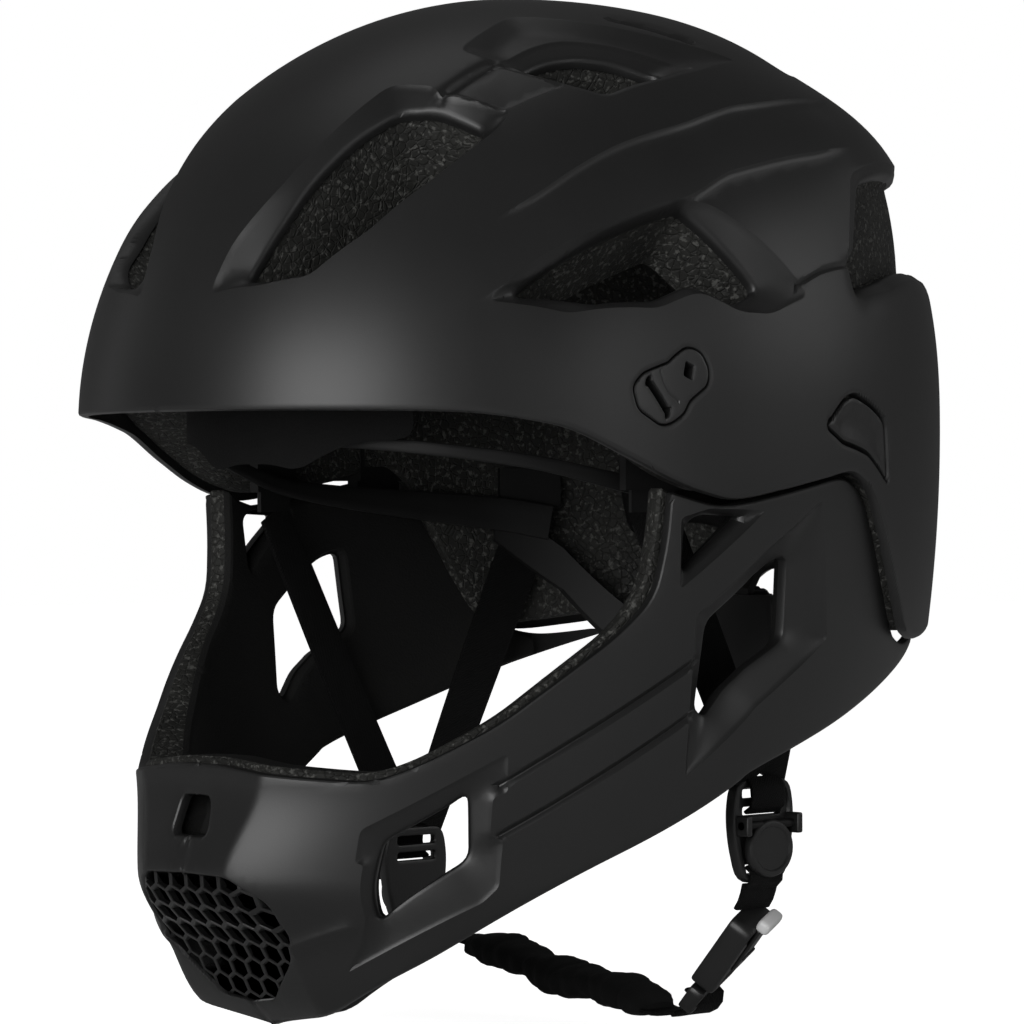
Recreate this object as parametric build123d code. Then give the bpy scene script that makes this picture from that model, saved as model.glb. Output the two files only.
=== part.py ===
# Downhill bike full face helmet with a chin guard that pulls off downward
# Millimetres. The helmet faces -Y, the wearer's left is +X and +Z is up.
# The origin is the middle of the head's ring, level with the brow edge.
from build123d import *
import math
import os

os.makedirs("parts", exist_ok=True)

# Shell and liner sizes
dome_half_width = 106.8
dome_front = 139.5
dome_rear = 148.0
dome_height = 126.0
dome_drop = 80.0
shell_wall = 2.2
shell_to_liner = 0.2
rim_lip = 2.5
cavity_half_width = 84.0
cavity_front = 104.0
cavity_rear = 110.0
cavity_height = 97.0
nape_notch_half_width = 34.0
nape_notch_top = -46.0
vent_depth = 62.0
vent_margin = 12.0

# Fullness of the curves, as exponents
plan_power = 2.08
front_power = 1.92
rear_power = 2.4
guard_power = 1.85

# Chin guard sizes
guard_half_width = 104.0
guard_front = 134.0
guard_rear = 144.0
guard_drop = 170.0
guard_wall = 3.0
guard_seam = 1.2
guard_lining = 7.5
chin_lining = 13.0
lining_gap = 0.3
lining_end = 84.0
chin_pad_half_width = 46.0
side_lining_front = -72.0
grille_wall = 3.2
grille_pitch = 7.0
grille_web = 1.3
grille_gap = 0.3

# Chin guard's posts and their sockets
post_thick = 4.6
post_length = 18.0
post_centre_x = 91.2
post_centre_y = 29.0
post_top = 6.0
post_flange_top = -26.0
post_flange_height = 14.0
post_peg = 6.0
socket_wall = 1.6
socket_gap = 0.5
socket_top_gap = 3.0
hook_thick = 1.6
hook_gap = 0.3
socket_mouth = -16.5

# Release buttons and their springs
button_inset = 0.5
button_thick = 3.0
button_gap = 0.5
button_travel = 2.0
stem_height = 6.0
stem_thick = 3.0
hook_reach = 8.0
spring_radius = 2.6
spring_wire = 0.8
spring_centre_y = 31.0

# Visor anchors
anchor_inset = 0.3
anchor_depth = 5.0
anchor_gap = 0.3
anchor_slot_radius = 1.4
anchor_hole_radius = 1.6

# Webbing, dividers and their levers
webbing_width = 15.0
webbing_thick = 1.4
webbing_gap = 0.25
divider_width = 27.0
divider_height = 30.0
divider_thick = 3.6
divider_corner = 6.0
divider_slot = 2.6
lever_width = 19.0
lever_height = 17.0
lever_thick = 3.0
lever_gap = 0.35
pin_radius = 1.2
pin_gap = 0.08
ear_thick = 2.2
anchor_plate_width = 20.0
anchor_plate_height = 12.0
anchor_plate_thick = 3.0
front_root_angle = -12.0
rear_root_angle = 30.0
webbing_bend = 3.5
strap_y = 28.0
root_level = -26.0
divider_x = 73.0
divider_level_left = -119.0
divider_level_right = -140.0
slot_spread = 4.0
lever_pin_up = 2.0

# Buckle
buckle_x = 62.0
buckle_level = -153.5
buckle_length = 26.0
buckle_width = 19.0
buckle_thick = 8.0
buckle_wall = 1.8
tongue_width = 12.0
tongue_thick = 3.0
tongue_reach = 10.0
tongue_bar = 9.0
tongue_gap = 0.55
tab_length = 9.0
tab_width = 10.0
tab_thick = 2.0
tab_travel = 3.0
buckle_tilt = -25.0
tab_gap = 0.3
tab_home = -0.5

# Chin strap's pad
pad_width = 17.0
pad_thick = 7.0
pad_bore_gap = 0.4

# Fit system at the nape
band_radius = 73.5
band_centre_y = 22.0
band_thick = 1.6
band_gap = 0.5
dial_level = -64.0
housing_half_width = 24.0
housing_half_height = 11.5
housing_wall = 2.0
pinion_radius = 4.0
pinion_tooth = 0.8
pinion_teeth = 10
pinion_thick = 2.0
rack_height = 2.6
knob_radius = 14.0
knob_thick = 9.0
knob_gap = 0.6
knob_ridges = 24
knob_groove_radius = 1.12
shaft_radius = 2.4
shaft_gap = 0.08
screw_radius = 1.2
screw_head_radius = 2.6
screw_head_thick = 1.6
strip_half_width = 76.0
strip_front = 98.0
strip_thick = 1.4
band_start = 28.0
band_lap = 4.0
rack_turns = 7
yoke_half_width = 8.0
yoke_thick = 2.0
yoke_seat_top = -20.0
yoke_seat_low = -37.0

# Pads
pad_layer = 4.0
pad_to_liner = 0.3

# Overruns for cuts
over = 2.0
wide = 130.0
tall = 200.0


# Surfaces
def superellipse(turn, half_x, half_y, power):
    c = math.cos(math.radians(turn))
    s = math.sin(math.radians(turn))
    x = half_x * math.copysign(abs(c) ** (2 / power), c)
    y = half_y * math.copysign(abs(s) ** (2 / power), s)
    return x, y


def side_power(turn):
    rearness = min(max(0.5 + 0.8 * math.sin(math.radians(turn)), 0), 1)
    return front_power + (rear_power - front_power) * rearness


def side_reach(level, height, power):
    return (1 - min(max(level / height, 0), 1) ** power) ** (1 / power)


# Every level ring is the brow ring made smaller and moved along Y, so its facets stay flat
def bowl_point(turn, level, half_x, front, rear, height):
    front_end = front * side_reach(level, height, front_power)
    rear_end = rear * side_reach(level, height, rear_power)
    scale = (front_end + rear_end) / (front + rear)
    shift = rear_end - scale * rear
    half_y = front if math.sin(math.radians(turn)) < 0 else rear
    x, y = superellipse(turn, half_x, half_y, plan_power)
    return Vector(x * scale, y * scale + shift, level)


def dome_ring_point(turn, level, inset=0):
    half_x = dome_half_width - inset
    return bowl_point(turn, level, half_x, dome_front - inset, dome_rear - inset, dome_height - inset)


def cavity_ring_point(turn, level, inset=0):
    half_x = cavity_half_width - inset
    return bowl_point(turn, level, half_x, cavity_front - inset, cavity_rear - inset, cavity_height - inset)


def dome_point(turn, share, inset=0):
    rise = math.radians(90 * min(share, 1))
    level = (dome_height - inset) * max(math.cos(rise), 0) ** (2 / side_power(turn))
    return dome_ring_point(turn, level - max(share - 1, 0) * dome_drop, inset)


# Each row: level, half width, front and rear of the guard, as shares of its drop, width, front and rear
guard_shares = [
    (0.04, 1.005, 0.995, 1.005),
    (-0.28, 0.966, 0.985, 0.995),
    (-0.58, 0.906, 0.984, 0.91),
    (-0.75, 0.865, 1.0, 0.84),
    (-0.88, 0.825, 0.92, 0.78),
    (-1.02, 0.74, 0.79, 0.72),
]


def guard_row(level):
    share = level / guard_drop
    rows = guard_shares
    for upper, lower in zip(rows, rows[1:]):
        if share >= lower[0]:
            part = (upper[0] - share) / (upper[0] - lower[0])
            return [a + (b - a) * part for a, b in zip(upper, lower)][1:]
    return rows[-1][1:]


def guard_point(turn, level, inset=0):
    width, front, rear = guard_row(level)
    half_y = front * guard_front if math.sin(math.radians(turn)) < 0 else rear * guard_rear
    x, y = superellipse(turn, width * guard_half_width - inset, half_y - inset, guard_power)
    return Vector(x, y, level)


turns = [15 * i for i in range(24)]
dome_level_shares = [0.985, 0.9, 0.75, 0.54, 0.28, 0, -0.7]


# A closed solid of flat facets between rings of as many points
def faceted(rings, flat_bands):
    faces = [Face(Wire.make_polygon(rings[0])), Face(Wire.make_polygon(rings[-1]))]
    for upper, lower in zip(rings, rings[1:]):
        for i in range(len(upper)):
            j = (i + 1) % len(upper)
            quad = [upper[i], upper[j], lower[j], lower[i]]
            patches = [quad] if flat_bands else [quad[:3], [quad[0], quad[2], quad[3]]]
            faces += [Face(Wire.make_polygon(patch)) for patch in patches]
    return Part() + Solid(Shell(faces))


def dome_solid(inset, surface=dome_ring_point, height=dome_height):
    levels = [share * (height - inset) for share in dome_level_shares]
    return faceted([[surface(turn, level, inset) for turn in turns] for level in levels], True)


def guard_solid(inset):
    levels = [row[0] * guard_drop for row in guard_shares]
    return faceted([[guard_point(turn, level, inset) for turn in turns] for level in levels], False)


# Outlines drawn from the side, as shares of the dome's front reach and the guard's drop
rim_shares = [
    (-1.16, 0.016), (-0.9, 0.014), (-0.72, 0.011), (-0.535, -0.01), (-0.385, -0.062), (-0.21, -0.118),
    (-0.13, -0.131), (0.013, -0.118), (0.14, -0.1), (0.243, -0.09), (0.32, -0.115), (0.4, -0.202),
    (0.485, -0.306), (0.553, -0.36), (0.635, -0.371), (0.857, -0.358), (1.12, -0.345),
]
eyeport_shares = [
    (-0.26, -0.09), (-0.262, -0.195), (-0.28, -0.29), (-0.347, -0.352), (-0.457, -0.423), (-0.557, -0.494),
    (-0.636, -0.537), (-0.695, -0.566), (-0.75, -0.583), (-0.805, -0.582), (-0.875, -0.573), (-1.0, -0.56),
    (-1.15, -0.555),
]
guard_lower_shares = [
    (0.76, -0.386), (0.55, -0.445), (0.3, -0.515), (0.02, -0.585), (-0.335, -0.73), (-0.61, -0.88),
    (-0.715, -0.978), (-0.85, -1.0), (-1.15, -1.02),
]


def side_points(shares, lift=0):
    return [(y * dome_front, z * guard_drop + lift) for y, z in shares]


def side_prism(edges, half_width=wide):
    return extrude(Plane.YZ * make_face(edges), amount=half_width, both=True)


def above_rim(lift):
    rim = side_points(rim_shares, lift)
    roof = [rim[-1], (rim[-1][0], tall), (rim[0][0], tall), rim[0]]
    return side_prism(Polyline(*rim, *roof[1:]))


def guard_profile(shrink=0):
    rim = side_points(rim_shares, -guard_seam - shrink)
    port = side_points(eyeport_shares)
    lower = side_points(guard_lower_shares, shrink)
    first = port[0][0] + shrink
    last = lower[0][0] - shrink
    top = [(first, rim[4][1] * 1.0 - (first - rim[4][0]) * 0.4)]
    top += [point for point in rim if first + over < point[0] < last - over]
    top.append((last, rim[14][1]))
    port = [(y + shrink * 0.7, z - shrink * 0.7) for y, z in port[1:]]
    outline = [*top, *[(last, lower[0][1]), *lower[1:]], *port[::-1]]
    return side_prism(Polyline(*outline, close=True))


# Openings cut square to the surface, through an outline that lies on it
def through_cut(points, depth, margin=0, lift=vent_margin):
    centre = sum(points, Vector()) / len(points)
    normal = Vector()
    for i, point in enumerate(points):
        after = points[(i + 1) % len(points)]
        normal += (point - centre).cross(after - centre)
    normal = normal.normalized()
    if normal.dot(Vector(centre.X, centre.Y, max(centre.Z, 0))) < 0:
        normal = normal * -1
    plane = Plane(centre + normal * lift, z_dir=normal)
    flat = [plane.to_local_coords(point) for point in points]
    outline = make_face(Polyline(*[(p.X, p.Y) for p in flat], close=True))
    if margin:
        outline = offset(outline, amount=margin, kind=Kind.INTERSECTION)
    return extrude(plane * outline, amount=-(depth + lift))


def both_sides(solid):
    return [solid, mirror(solid, about=Plane.YZ)]


# Vent outlines: turn around the dome in degrees, share of the way from crown to brow
front_vent_shares = [(-76, 0.79), (-72, 0.69), (-66, 0.6), (-58, 0.505), (-50, 0.515), (-41, 0.548), (-51, 0.65), (-63, 0.755)]
top_vent_shares = [(-37, 0.4), (-22, 0.36), (-10, 0.38), (0, 0.435), (-10, 0.455), (-18, 0.478)]
crown_vent_shares = [(48, 0.2), (66, 0.28), (62, 0.42), (42, 0.4)]
side_vent_shares = [(-36, 0.82), (-26, 0.76), (-10, 0.7), (0, 0.82), (-5, 0.85), (-11, 0.82), (-17, 0.84), (-26, 0.835)]
rear_vent_shares = [(25, 0.64), (41, 0.66), (44, 0.79), (23, 0.815), (17, 0.8)]
vent_tables = [front_vent_shares, top_vent_shares, crown_vent_shares, side_vent_shares, rear_vent_shares]


def vent_cuts(depth, margin=0):
    cuts = []
    for table in vent_tables:
        cuts += both_sides(through_cut([dome_point(turn, share) for turn, share in table], depth, margin))
    return cuts


# Guard window outlines: turn around the guard in degrees, share of its drop
side_window_shares = [(6.5, -0.23), (2, -0.24), (-8.5, -0.335), (-10, -0.475), (-8, -0.49), (-4, -0.445), (6.5, -0.37)]
temple_vent_shares = [(-11.5, -0.157), (-4, -0.16), (-14.5, -0.25), (-13.7, -0.17)]
chin_window_shares = [(-42.5, -0.605), (-41.5, -0.715), (-53.5, -0.81), (-52.5, -0.685), (-50, -0.665), (-45, -0.63)]
nose_vent_half_shares = [(0.052, -0.675), (0.045, -0.615)]
grille_half_shares = [(0.14, -0.745), (0.2, -0.785), (0.215, -0.845), (0.18, -0.885), (0.085, -0.945)]


def guard_window(table, depth, margin=0):
    return through_cut([guard_point(turn, share * guard_drop) for turn, share in table], depth, margin)


def front_prism(table, margin=0, reach=wide):
    right = [(x * dome_front, z * guard_drop) for x, z in table]
    left = [(-x, z) for x, z in right[::-1]]
    outline = make_face(Polyline(*right, *left, close=True))
    if margin:
        outline = offset(outline, amount=margin, kind=Kind.INTERSECTION)
    return extrude(Plane.XZ.offset(wide * 1.2) * outline, amount=-reach * 0.6)


# Outer shell
button_shares = [(8.5, 1.03), (12.5, 0.975), (20.5, 1.03), (21.5, 1.215), (16.3, 1.11), (11, 1.07)]
plate_shares = [
    (-20.8, 0.955), (-19.6, 0.925), (-16.8, 0.918), (-14.6, 0.905), (-11.8, 0.91), (-10.7, 0.936),
    (-12, 0.965), (-14.2, 1.005), (-17, 1.02), (-19.7, 0.985),
]


def side_cut(table, inner, margin=0):
    points = [dome_point(turn, share) for turn, share in table]
    outline = make_face(Polyline(*[(p.Y, p.Z) for p in points], close=True))
    if margin:
        outline = offset(outline, amount=margin, kind=Kind.INTERSECTION)
    return extrude(Plane.YZ.offset(inner) * outline, amount=wide - inner)


def nape_notch(lift=0):
    notch = Box(2 * nape_notch_half_width, dome_rear, tall)
    top = nape_notch_top + lift
    notch = Pos(0, cavity_rear + dome_rear / 3, top - tall / 2) * notch
    return fillet(notch.edges().filter_by(Axis.Y).group_by(Axis.Z)[-1], nape_notch_half_width * 0.6)


def make_outer_shell(outer, inner):
    shell = (outer - inner) & above_rim(0)
    shell = shell - nape_notch()
    for cut in vent_cuts(vent_depth):
        shell = shell - cut
    for table, gap in ((button_shares, button_gap), (plate_shares, anchor_gap)):
        for cut in both_sides(side_cut(table, cavity_half_width, gap)):
            shell = shell - cut
    return shell


# Impact liner
socket_outer_x = post_thick / 2 + socket_gap + socket_wall
socket_inner_x = post_thick / 2 + 2 * hook_gap + hook_thick + button_travel + socket_wall
socket_half_y = post_length / 2 + stem_thick + 2 * hook_gap + socket_gap + socket_wall
socket_top = post_top + socket_top_gap + socket_wall
socket_y = post_centre_y + stem_thick / 2


def socket_block(grow=0, low=socket_mouth):
    width = socket_outer_x + socket_inner_x + 2 * grow
    height = socket_top - low + grow
    block = Box(width, 2 * (socket_half_y + grow), height)
    middle = post_centre_x + (socket_outer_x - socket_inner_x) / 2
    return Pos(middle, socket_y, low + height / 2) * block


def button_pocket():
    stop = post_centre_x + socket_outer_x - button_travel - over
    return side_cut(button_shares, stop, button_gap + over / 2)


def make_impact_liner(outer):
    cavity = dome_solid(0, cavity_ring_point, cavity_height)
    liner = (outer - cavity) & above_rim(rim_lip)
    liner = liner - nape_notch(rim_lip)
    for cut in vent_cuts(vent_depth, -over / 2):
        liner = liner - cut
    cuts = both_sides(socket_block(lining_gap, socket_mouth - dome_drop))
    cuts += both_sides(button_pocket())
    cuts += both_sides(side_cut(plate_shares, dome_half_width - anchor_depth - anchor_gap - over * 2, anchor_gap))
    for cut in cuts:
        liner = liner - cut
    return liner


# Visor anchors
def make_visor_anchor(outer_skin):
    plate = side_cut(plate_shares, dome_half_width - anchor_depth - over * 2) & outer_skin
    upper = dome_point(-18.7, 0.946)
    lower = dome_point(-16.0, 0.993)
    hole = dome_point(-13.6, 0.936)
    across = Plane.YZ.offset(cavity_half_width)
    for spot, radius in ((upper, anchor_slot_radius), (lower, anchor_slot_radius), (hole, anchor_hole_radius)):
        plate = plate - extrude(across * Pos(spot.Y, spot.Z) * Circle(radius), amount=wide)
    slot = Polyline((upper.Y, upper.Z), (lower.Y, lower.Z))
    plate = plate - extrude(across * trace(slot, anchor_slot_radius), amount=wide)
    return plate


# Release button with its stem and hook
def make_release_button(outer_skin, inner_skin):
    panel = side_cut(button_shares, cavity_half_width) & (outer_skin - inner_skin)
    hook_low = post_centre_x - post_thick / 2 - hook_gap - hook_thick
    stem_high = dome_half_width - button_thick - over * 2
    stem_y = post_centre_y + post_length / 2 + hook_gap + stem_thick / 2
    stem = Box(stem_high - hook_low, stem_thick, stem_height)
    stem = Pos((stem_high + hook_low) / 2, stem_y, 0) * stem
    hook = Box(hook_thick, hook_reach, stem_height)
    hook = Pos(hook_low + hook_thick / 2, stem_y - hook_reach / 2 + stem_thick / 2, 0) * hook
    return panel + stem + hook


def make_button_spring(inner_skin):
    low = post_centre_x + post_thick / 2 + hook_gap + button_travel
    tube = Cylinder(spring_radius, wide - low) - Cylinder(spring_radius - spring_wire, wide)
    tube = Pos((wide + low) / 2, spring_centre_y, 0) * Rot(0, 90, 0) * tube
    return tube & inner_skin


def make_guard_socket():
    housing = socket_block()
    room_x = socket_outer_x + socket_inner_x - 2 * socket_wall
    room = Box(room_x, 2 * (socket_half_y - socket_wall), socket_top - socket_wall - socket_mouth + over)
    middle = post_centre_x + (socket_outer_x - socket_inner_x) / 2
    housing = housing - Pos(middle, socket_y, (socket_top - socket_wall + socket_mouth - over) / 2) * room
    window_y = post_centre_y + post_length / 2 + hook_gap + stem_thick / 2
    window = Box(3 * socket_wall, stem_thick + 2 * button_gap, stem_height + 2 * button_gap)
    housing = housing - Pos(post_centre_x + socket_outer_x, window_y, 0) * window
    bore = Rot(0, 90, 0) * Cylinder(spring_radius + button_gap, 3 * socket_wall)
    return housing - Pos(post_centre_x + socket_outer_x, spring_centre_y, 0) * bore


# Chin guard
def guard_post():
    foot = Pos(post_centre_x, post_centre_y, post_flange_top)
    post = Pos(0, 0, (post_top - post_flange_top) / 2) * Box(post_thick, post_length, post_top - post_flange_top)
    peg = Pos(0, 0, -post_peg / 2) * Box(post_thick / 2, post_length / 2, post_peg)
    width = guard_half_width - post_centre_x + post_thick / 2
    flange = Box(width, post_length, post_flange_height)
    flange = flange - Pos(post_thick / 2 - width / 2, 0, post_flange_height / 2) * peg
    return foot * (post + peg), foot * Pos(width / 2 - post_thick / 2, 0, -post_flange_height / 2) * flange


def make_chin_guard(outer, inner, profile):
    guard = (outer - inner) & profile
    _, flange = guard_post()
    for mount in both_sides(flange & outer):
        guard = guard + mount
    for cut in both_sides(guard_window(side_window_shares, guard_wall * 4)):
        guard = guard - cut
    for cut in both_sides(guard_window(temple_vent_shares, guard_wall * 2)):
        guard = guard - cut
    for cut in both_sides(guard_window(chin_window_shares, guard_wall * 4)):
        guard = guard - cut
    guard = guard - front_prism(nose_vent_half_shares) - front_prism(grille_half_shares)
    return guard


def lining_cuts():
    cuts = both_sides(guard_window(side_window_shares, chin_lining * 2, over / 2))
    cuts += both_sides(guard_window(chin_window_shares, chin_lining * 2, over / 2))
    cuts += [front_prism(nose_vent_half_shares, over / 2), front_prism(grille_half_shares, over)]
    return cuts


def make_guard_liner(outer, inner, profile):
    lining = (outer - inner) & profile
    length = lining_end - side_lining_front
    keep = Pos(wide / 2, side_lining_front + length / 2, -guard_drop / 2) * Box(wide, length, 2 * guard_drop)
    lining = lining & keep
    _, flange = guard_post()
    room = Box(wide, post_length + 4 * lining_gap, tall)
    low = post_flange_top - post_flange_height - lining_gap
    lining = lining - Pos(post_centre_x, post_centre_y, low + tall / 2) * room
    for cut in lining_cuts():
        lining = lining - cut
    return lining


def make_chin_pad(outer, inner, profile):
    pad = (outer - inner) & profile
    length = guard_front + side_lining_front - lining_gap
    keep = Box(2 * chin_pad_half_width, length, 2 * guard_drop)
    pad = pad & Pos(0, -guard_front + length / 2, -guard_drop / 2) * keep
    for cut in lining_cuts():
        pad = pad - cut
    return pad


grille_half_width_share = max(x for x, z in grille_half_shares)


def make_chin_grille(outer, inner):
    band = (outer - inner) & front_prism(grille_half_shares, -grille_gap)
    top = guard_point(-90, grille_half_shares[0][1] * guard_drop)
    low = guard_point(-90, grille_half_shares[-1][1] * guard_drop)
    along = (low - top).normalized()
    facing = Plane((top + low) / 2, x_dir=(1, 0, 0), z_dir=Vector(1, 0, 0).cross(along) * -1)
    hole_radius = (grille_pitch - grille_web) / math.sqrt(3)
    rows = math.ceil((low - top).length / grille_pitch / 2) + 1
    columns = math.ceil(grille_half_width_share * dome_front / grille_pitch)
    holes = []
    for row in range(-rows, rows + 1):
        for column in range(-columns - 1, columns + 1):
            u = (column + 0.5 * (row % 2)) * grille_pitch
            v = row * grille_pitch * math.sqrt(3) / 2
            cell = RegularPolygon(hole_radius, 6, rotation=30)
            holes.append(extrude(facing * Pos(u, v) * cell, amount=grille_wall * 6, both=True))
    return band - holes


# Webbing, cut from flat strips
def webbing_run(start, end, facing=0):
    lean = math.atan2(end.Y - start.Y, start.Z - end.Z)
    strip = Rectangle(webbing_thick, webbing_width / math.cos(lean))
    rings = [Location(start) * Rot(0, 0, facing) * strip, Location(end) * strip]
    return loft(rings, ruled=True)


def webbing_path(points, width=webbing_width, thick=webbing_thick):
    line = FilletPolyline(*[(x, z) for x, z in points], radius=[webbing_bend] * (len(points) - 2))
    ribbon = trace(line, thick)
    return Pos(0, strap_y, 0) * extrude(Plane.XZ * ribbon, amount=width / 2, both=True)


# Where the webbing leaves the liner and meets each divider
front_root = Vector(79.6, -24.0, root_level)
rear_root = Vector(61.5, 69.0, root_level - 5.0)
lap = webbing_thick / 2 + webbing_gap


def divider_top(level):
    return level + divider_height / 2 + webbing_gap


def front_strap(level):
    end = Vector(divider_x + lap, strap_y - slot_spread, divider_top(level) + webbing_gap)
    return webbing_run(front_root - Vector(0, 0, webbing_gap), end, front_root_angle)


def rear_strap(level):
    end = Vector(divider_x - lap, strap_y + slot_spread, divider_top(level) + webbing_gap)
    return webbing_run(rear_root - Vector(0, 0, webbing_gap), end, rear_root_angle)


def strap_root(spot, angle):
    length = anchor_plate_height + webbing_gap
    root = Box(webbing_thick, webbing_width, length)
    root = Pos(0, 0, length / 2) * root
    plate = Pos(0, 0, length) * Box(anchor_plate_thick, anchor_plate_width, anchor_plate_height)
    return Location(spot) * Rot(0, 0, angle) * (root + plate)


def strap_root_room(spot, angle):
    length = anchor_plate_height + webbing_gap
    size = anchor_plate_width + 2 * lining_gap
    thick = anchor_plate_thick + 2 * lining_gap
    room = Box(thick, size, anchor_plate_height + 2 * lining_gap)
    lead = Pos(0, 0, -length / 2) * Box(thick, webbing_width + 4 * lining_gap, 2 * length)
    return Location(spot) * Rot(0, 0, angle) * Pos(0, 0, length) * (room + lead)


# Divider, lever and pin, drawn for the left side with the plate facing +X
def make_divider(level):
    outline = RectangleRounded(divider_width, divider_height, divider_corner)
    plate = extrude(outline, amount=divider_thick / 2, both=True)
    plate = fillet(plate.edges().group_by(Axis.Z)[-1], divider_thick / 5)
    slot = Box(webbing_width + over, divider_slot, 2 * divider_thick)
    for offset_share in (0.36, 0.2, -0.36):
        plate = plate - Pos(0, offset_share * divider_height) * slot
    ear_span = lever_width / 2 + lever_gap + ear_thick / 2
    pin_x = divider_thick / 2 + lever_thick / 2 + lever_gap
    for side in (-1, 1):
        ear = Box(ear_thick, 2 * lever_thick, lever_thick + lever_gap + pin_radius)
        ear = Pos(side * ear_span, lever_pin_up, divider_thick / 2 + (lever_thick + lever_gap + pin_radius) / 2) * ear
        plate = plate + ear
    plate = plate - Pos(0, lever_pin_up, pin_x) * Rot(0, 90, 0) * Cylinder(pin_radius, 2 * divider_width)
    return divider_place(level) * plate


def divider_place(level):
    return Plane((divider_x, strap_y, level), x_dir=(0, 1, 0), z_dir=(1, 0, 0)).location


lever_corner_share = 0.42


def make_lever(level):
    pin_x = divider_thick / 2 + lever_thick / 2 + lever_gap
    knuckle = Rot(0, 90, 0) * Cylinder(lever_thick / 2, lever_width)
    outline = RectangleRounded(lever_width, lever_height, lever_width * lever_corner_share)
    flap = extrude(outline, amount=lever_thick / 2, both=True)
    flap = Pos(0, -lever_height / 2 + lever_thick / 2) * flap
    flap = flap - Pos(0, lever_thick) * Box(lever_width, 2 * lever_thick, 2 * lever_thick)
    block = Pos(0, -lever_thick) * Box(lever_width, 2 * lever_thick, lever_thick)
    lever = knuckle + flap + block
    lever = lever - Rot(0, 90, 0) * Cylinder(pin_radius + pin_gap, 2 * lever_width)
    return divider_place(level) * Pos(0, lever_pin_up, pin_x) * lever


def make_pin(level):
    pin_x = divider_thick / 2 + lever_thick / 2 + lever_gap
    length = lever_width + 2 * lever_gap + 2 * ear_thick
    return divider_place(level) * Pos(0, lever_pin_up, pin_x) * Rot(0, 90, 0) * Cylinder(pin_radius, length)


# Buckle: its own X runs down along the strap, Y across it
buckle_centre = Vector(buckle_x, strap_y, buckle_level)
buckle_along = Vector(-0.67, 0, -0.742).normalized()


def buckle_place():
    across = Vector(0, 1, 0).rotate(Axis((0, 0, 0), tuple(buckle_along)), buckle_tilt)
    return Plane(buckle_centre, x_dir=buckle_along, z_dir=buckle_along.cross(across)).location


def make_buckle_socket():
    body = extrude(RectangleRounded(buckle_length, buckle_width, buckle_wall), amount=buckle_thick / 2, both=True)
    body = fillet(body.edges().group_by(Axis.Z)[-1] + body.edges().group_by(Axis.Z)[0], buckle_wall * 0.6)
    mouth = tongue_reach + 2 * tongue_gap
    room = Box(mouth + over, tongue_width + 2 * tongue_gap, tongue_thick + 2 * tongue_gap)
    body = body - Pos(buckle_length / 2 - mouth / 2 + over / 2) * room
    bar_slot = Box(divider_slot, webbing_width + over / 2, 2 * buckle_thick)
    body = body - Pos(-buckle_length / 2 + buckle_wall + divider_slot / 2) * bar_slot
    track = Box(tab_length + tab_travel + tab_gap * 2, tab_width + 2 * tab_gap, buckle_wall)
    body = body - Pos(tab_home - tab_travel / 2, 0, buckle_thick / 2) * track
    window = Box(tab_length, 2 * buckle_width, tongue_thick * 0.6)
    return buckle_place() * (body - Pos(buckle_length * 0.22) * window)


def make_buckle_tab():
    tab = Box(tab_length, tab_width, tab_thick)
    low = buckle_thick / 2 - buckle_wall / 2 + tab_gap
    grip = Pos(-tab_length / 2 + tab_thick / 2, 0, tab_thick * 0.8) * Box(tab_thick, tab_width, tab_thick)
    return buckle_place() * Pos(tab_home, 0, low + tab_thick / 2) * (tab + grip)


def make_buckle_tongue():
    blade = Box(tongue_reach, tongue_width, tongue_thick)
    blade = Pos(buckle_length / 2 - tongue_reach / 2) * blade
    bar = extrude(RectangleRounded(tongue_bar, buckle_width, buckle_wall), amount=tongue_thick * 0.8, both=True)
    start = buckle_length / 2 + tongue_gap
    bar = Pos(start + tongue_bar / 2) * bar
    neck = Pos(start) * Box(2 * tongue_gap + over, tongue_width, tongue_thick)
    slot = Box(divider_slot, webbing_width + over / 2, 4 * tongue_thick)
    tongue = blade + bar + neck
    return buckle_place() * (tongue - Pos(start + tongue_bar * 0.55) * slot)


# Chin strap and its pad, in the strap's own plane: x and z of each point
chin_route = [
    (-73, -155.7), (-68, -160.5), (-50, -158), (-30, -161.5), (-5, -167.5), (20, -170), (37, -175), (45.4, -173.6),
]
pad_route = [(-42, -159.4), (-32, -161.1), (-18, -164.4), (-5, -167.5), (8, -168.8), (20, -170), (30, -172.9)]
pad_width_shares = [0.8, 1.02, 0.94, 1.06, 0.95, 1.02, 0.78]
pad_thick_shares = [0.6, 1.12, 0.92, 1.3, 0.95, 1.15, 0.6]
pad_twists = [0, 6, -5, 8, -6, 5, 0]
lower_route_left = [(73, -134.2), (71.8, -138), (69.6, -141.6)]


def make_chin_pad_sleeve():
    rings = []
    for i, (x, z) in enumerate(pad_route):
        before = pad_route[max(i - 1, 0)]
        after = pad_route[min(i + 1, len(pad_route) - 1)]
        along = Vector(after[0] - before[0], 0, after[1] - before[1]).normalized()
        across = Vector(0, 1, 0).rotate(Axis((0, 0, 0), tuple(along)), pad_twists[i])
        place = Plane((x, strap_y, z), x_dir=across, z_dir=along)
        width = pad_width * pad_width_shares[i]
        thick = pad_thick * pad_thick_shares[i]
        rings.append(place * RectangleRounded(width, thick, thick * 0.4))
    sleeve = loft(rings)
    bore = webbing_path(chin_route, webbing_width + pad_bore_gap, webbing_thick + pad_bore_gap)
    return sleeve - bore


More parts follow.
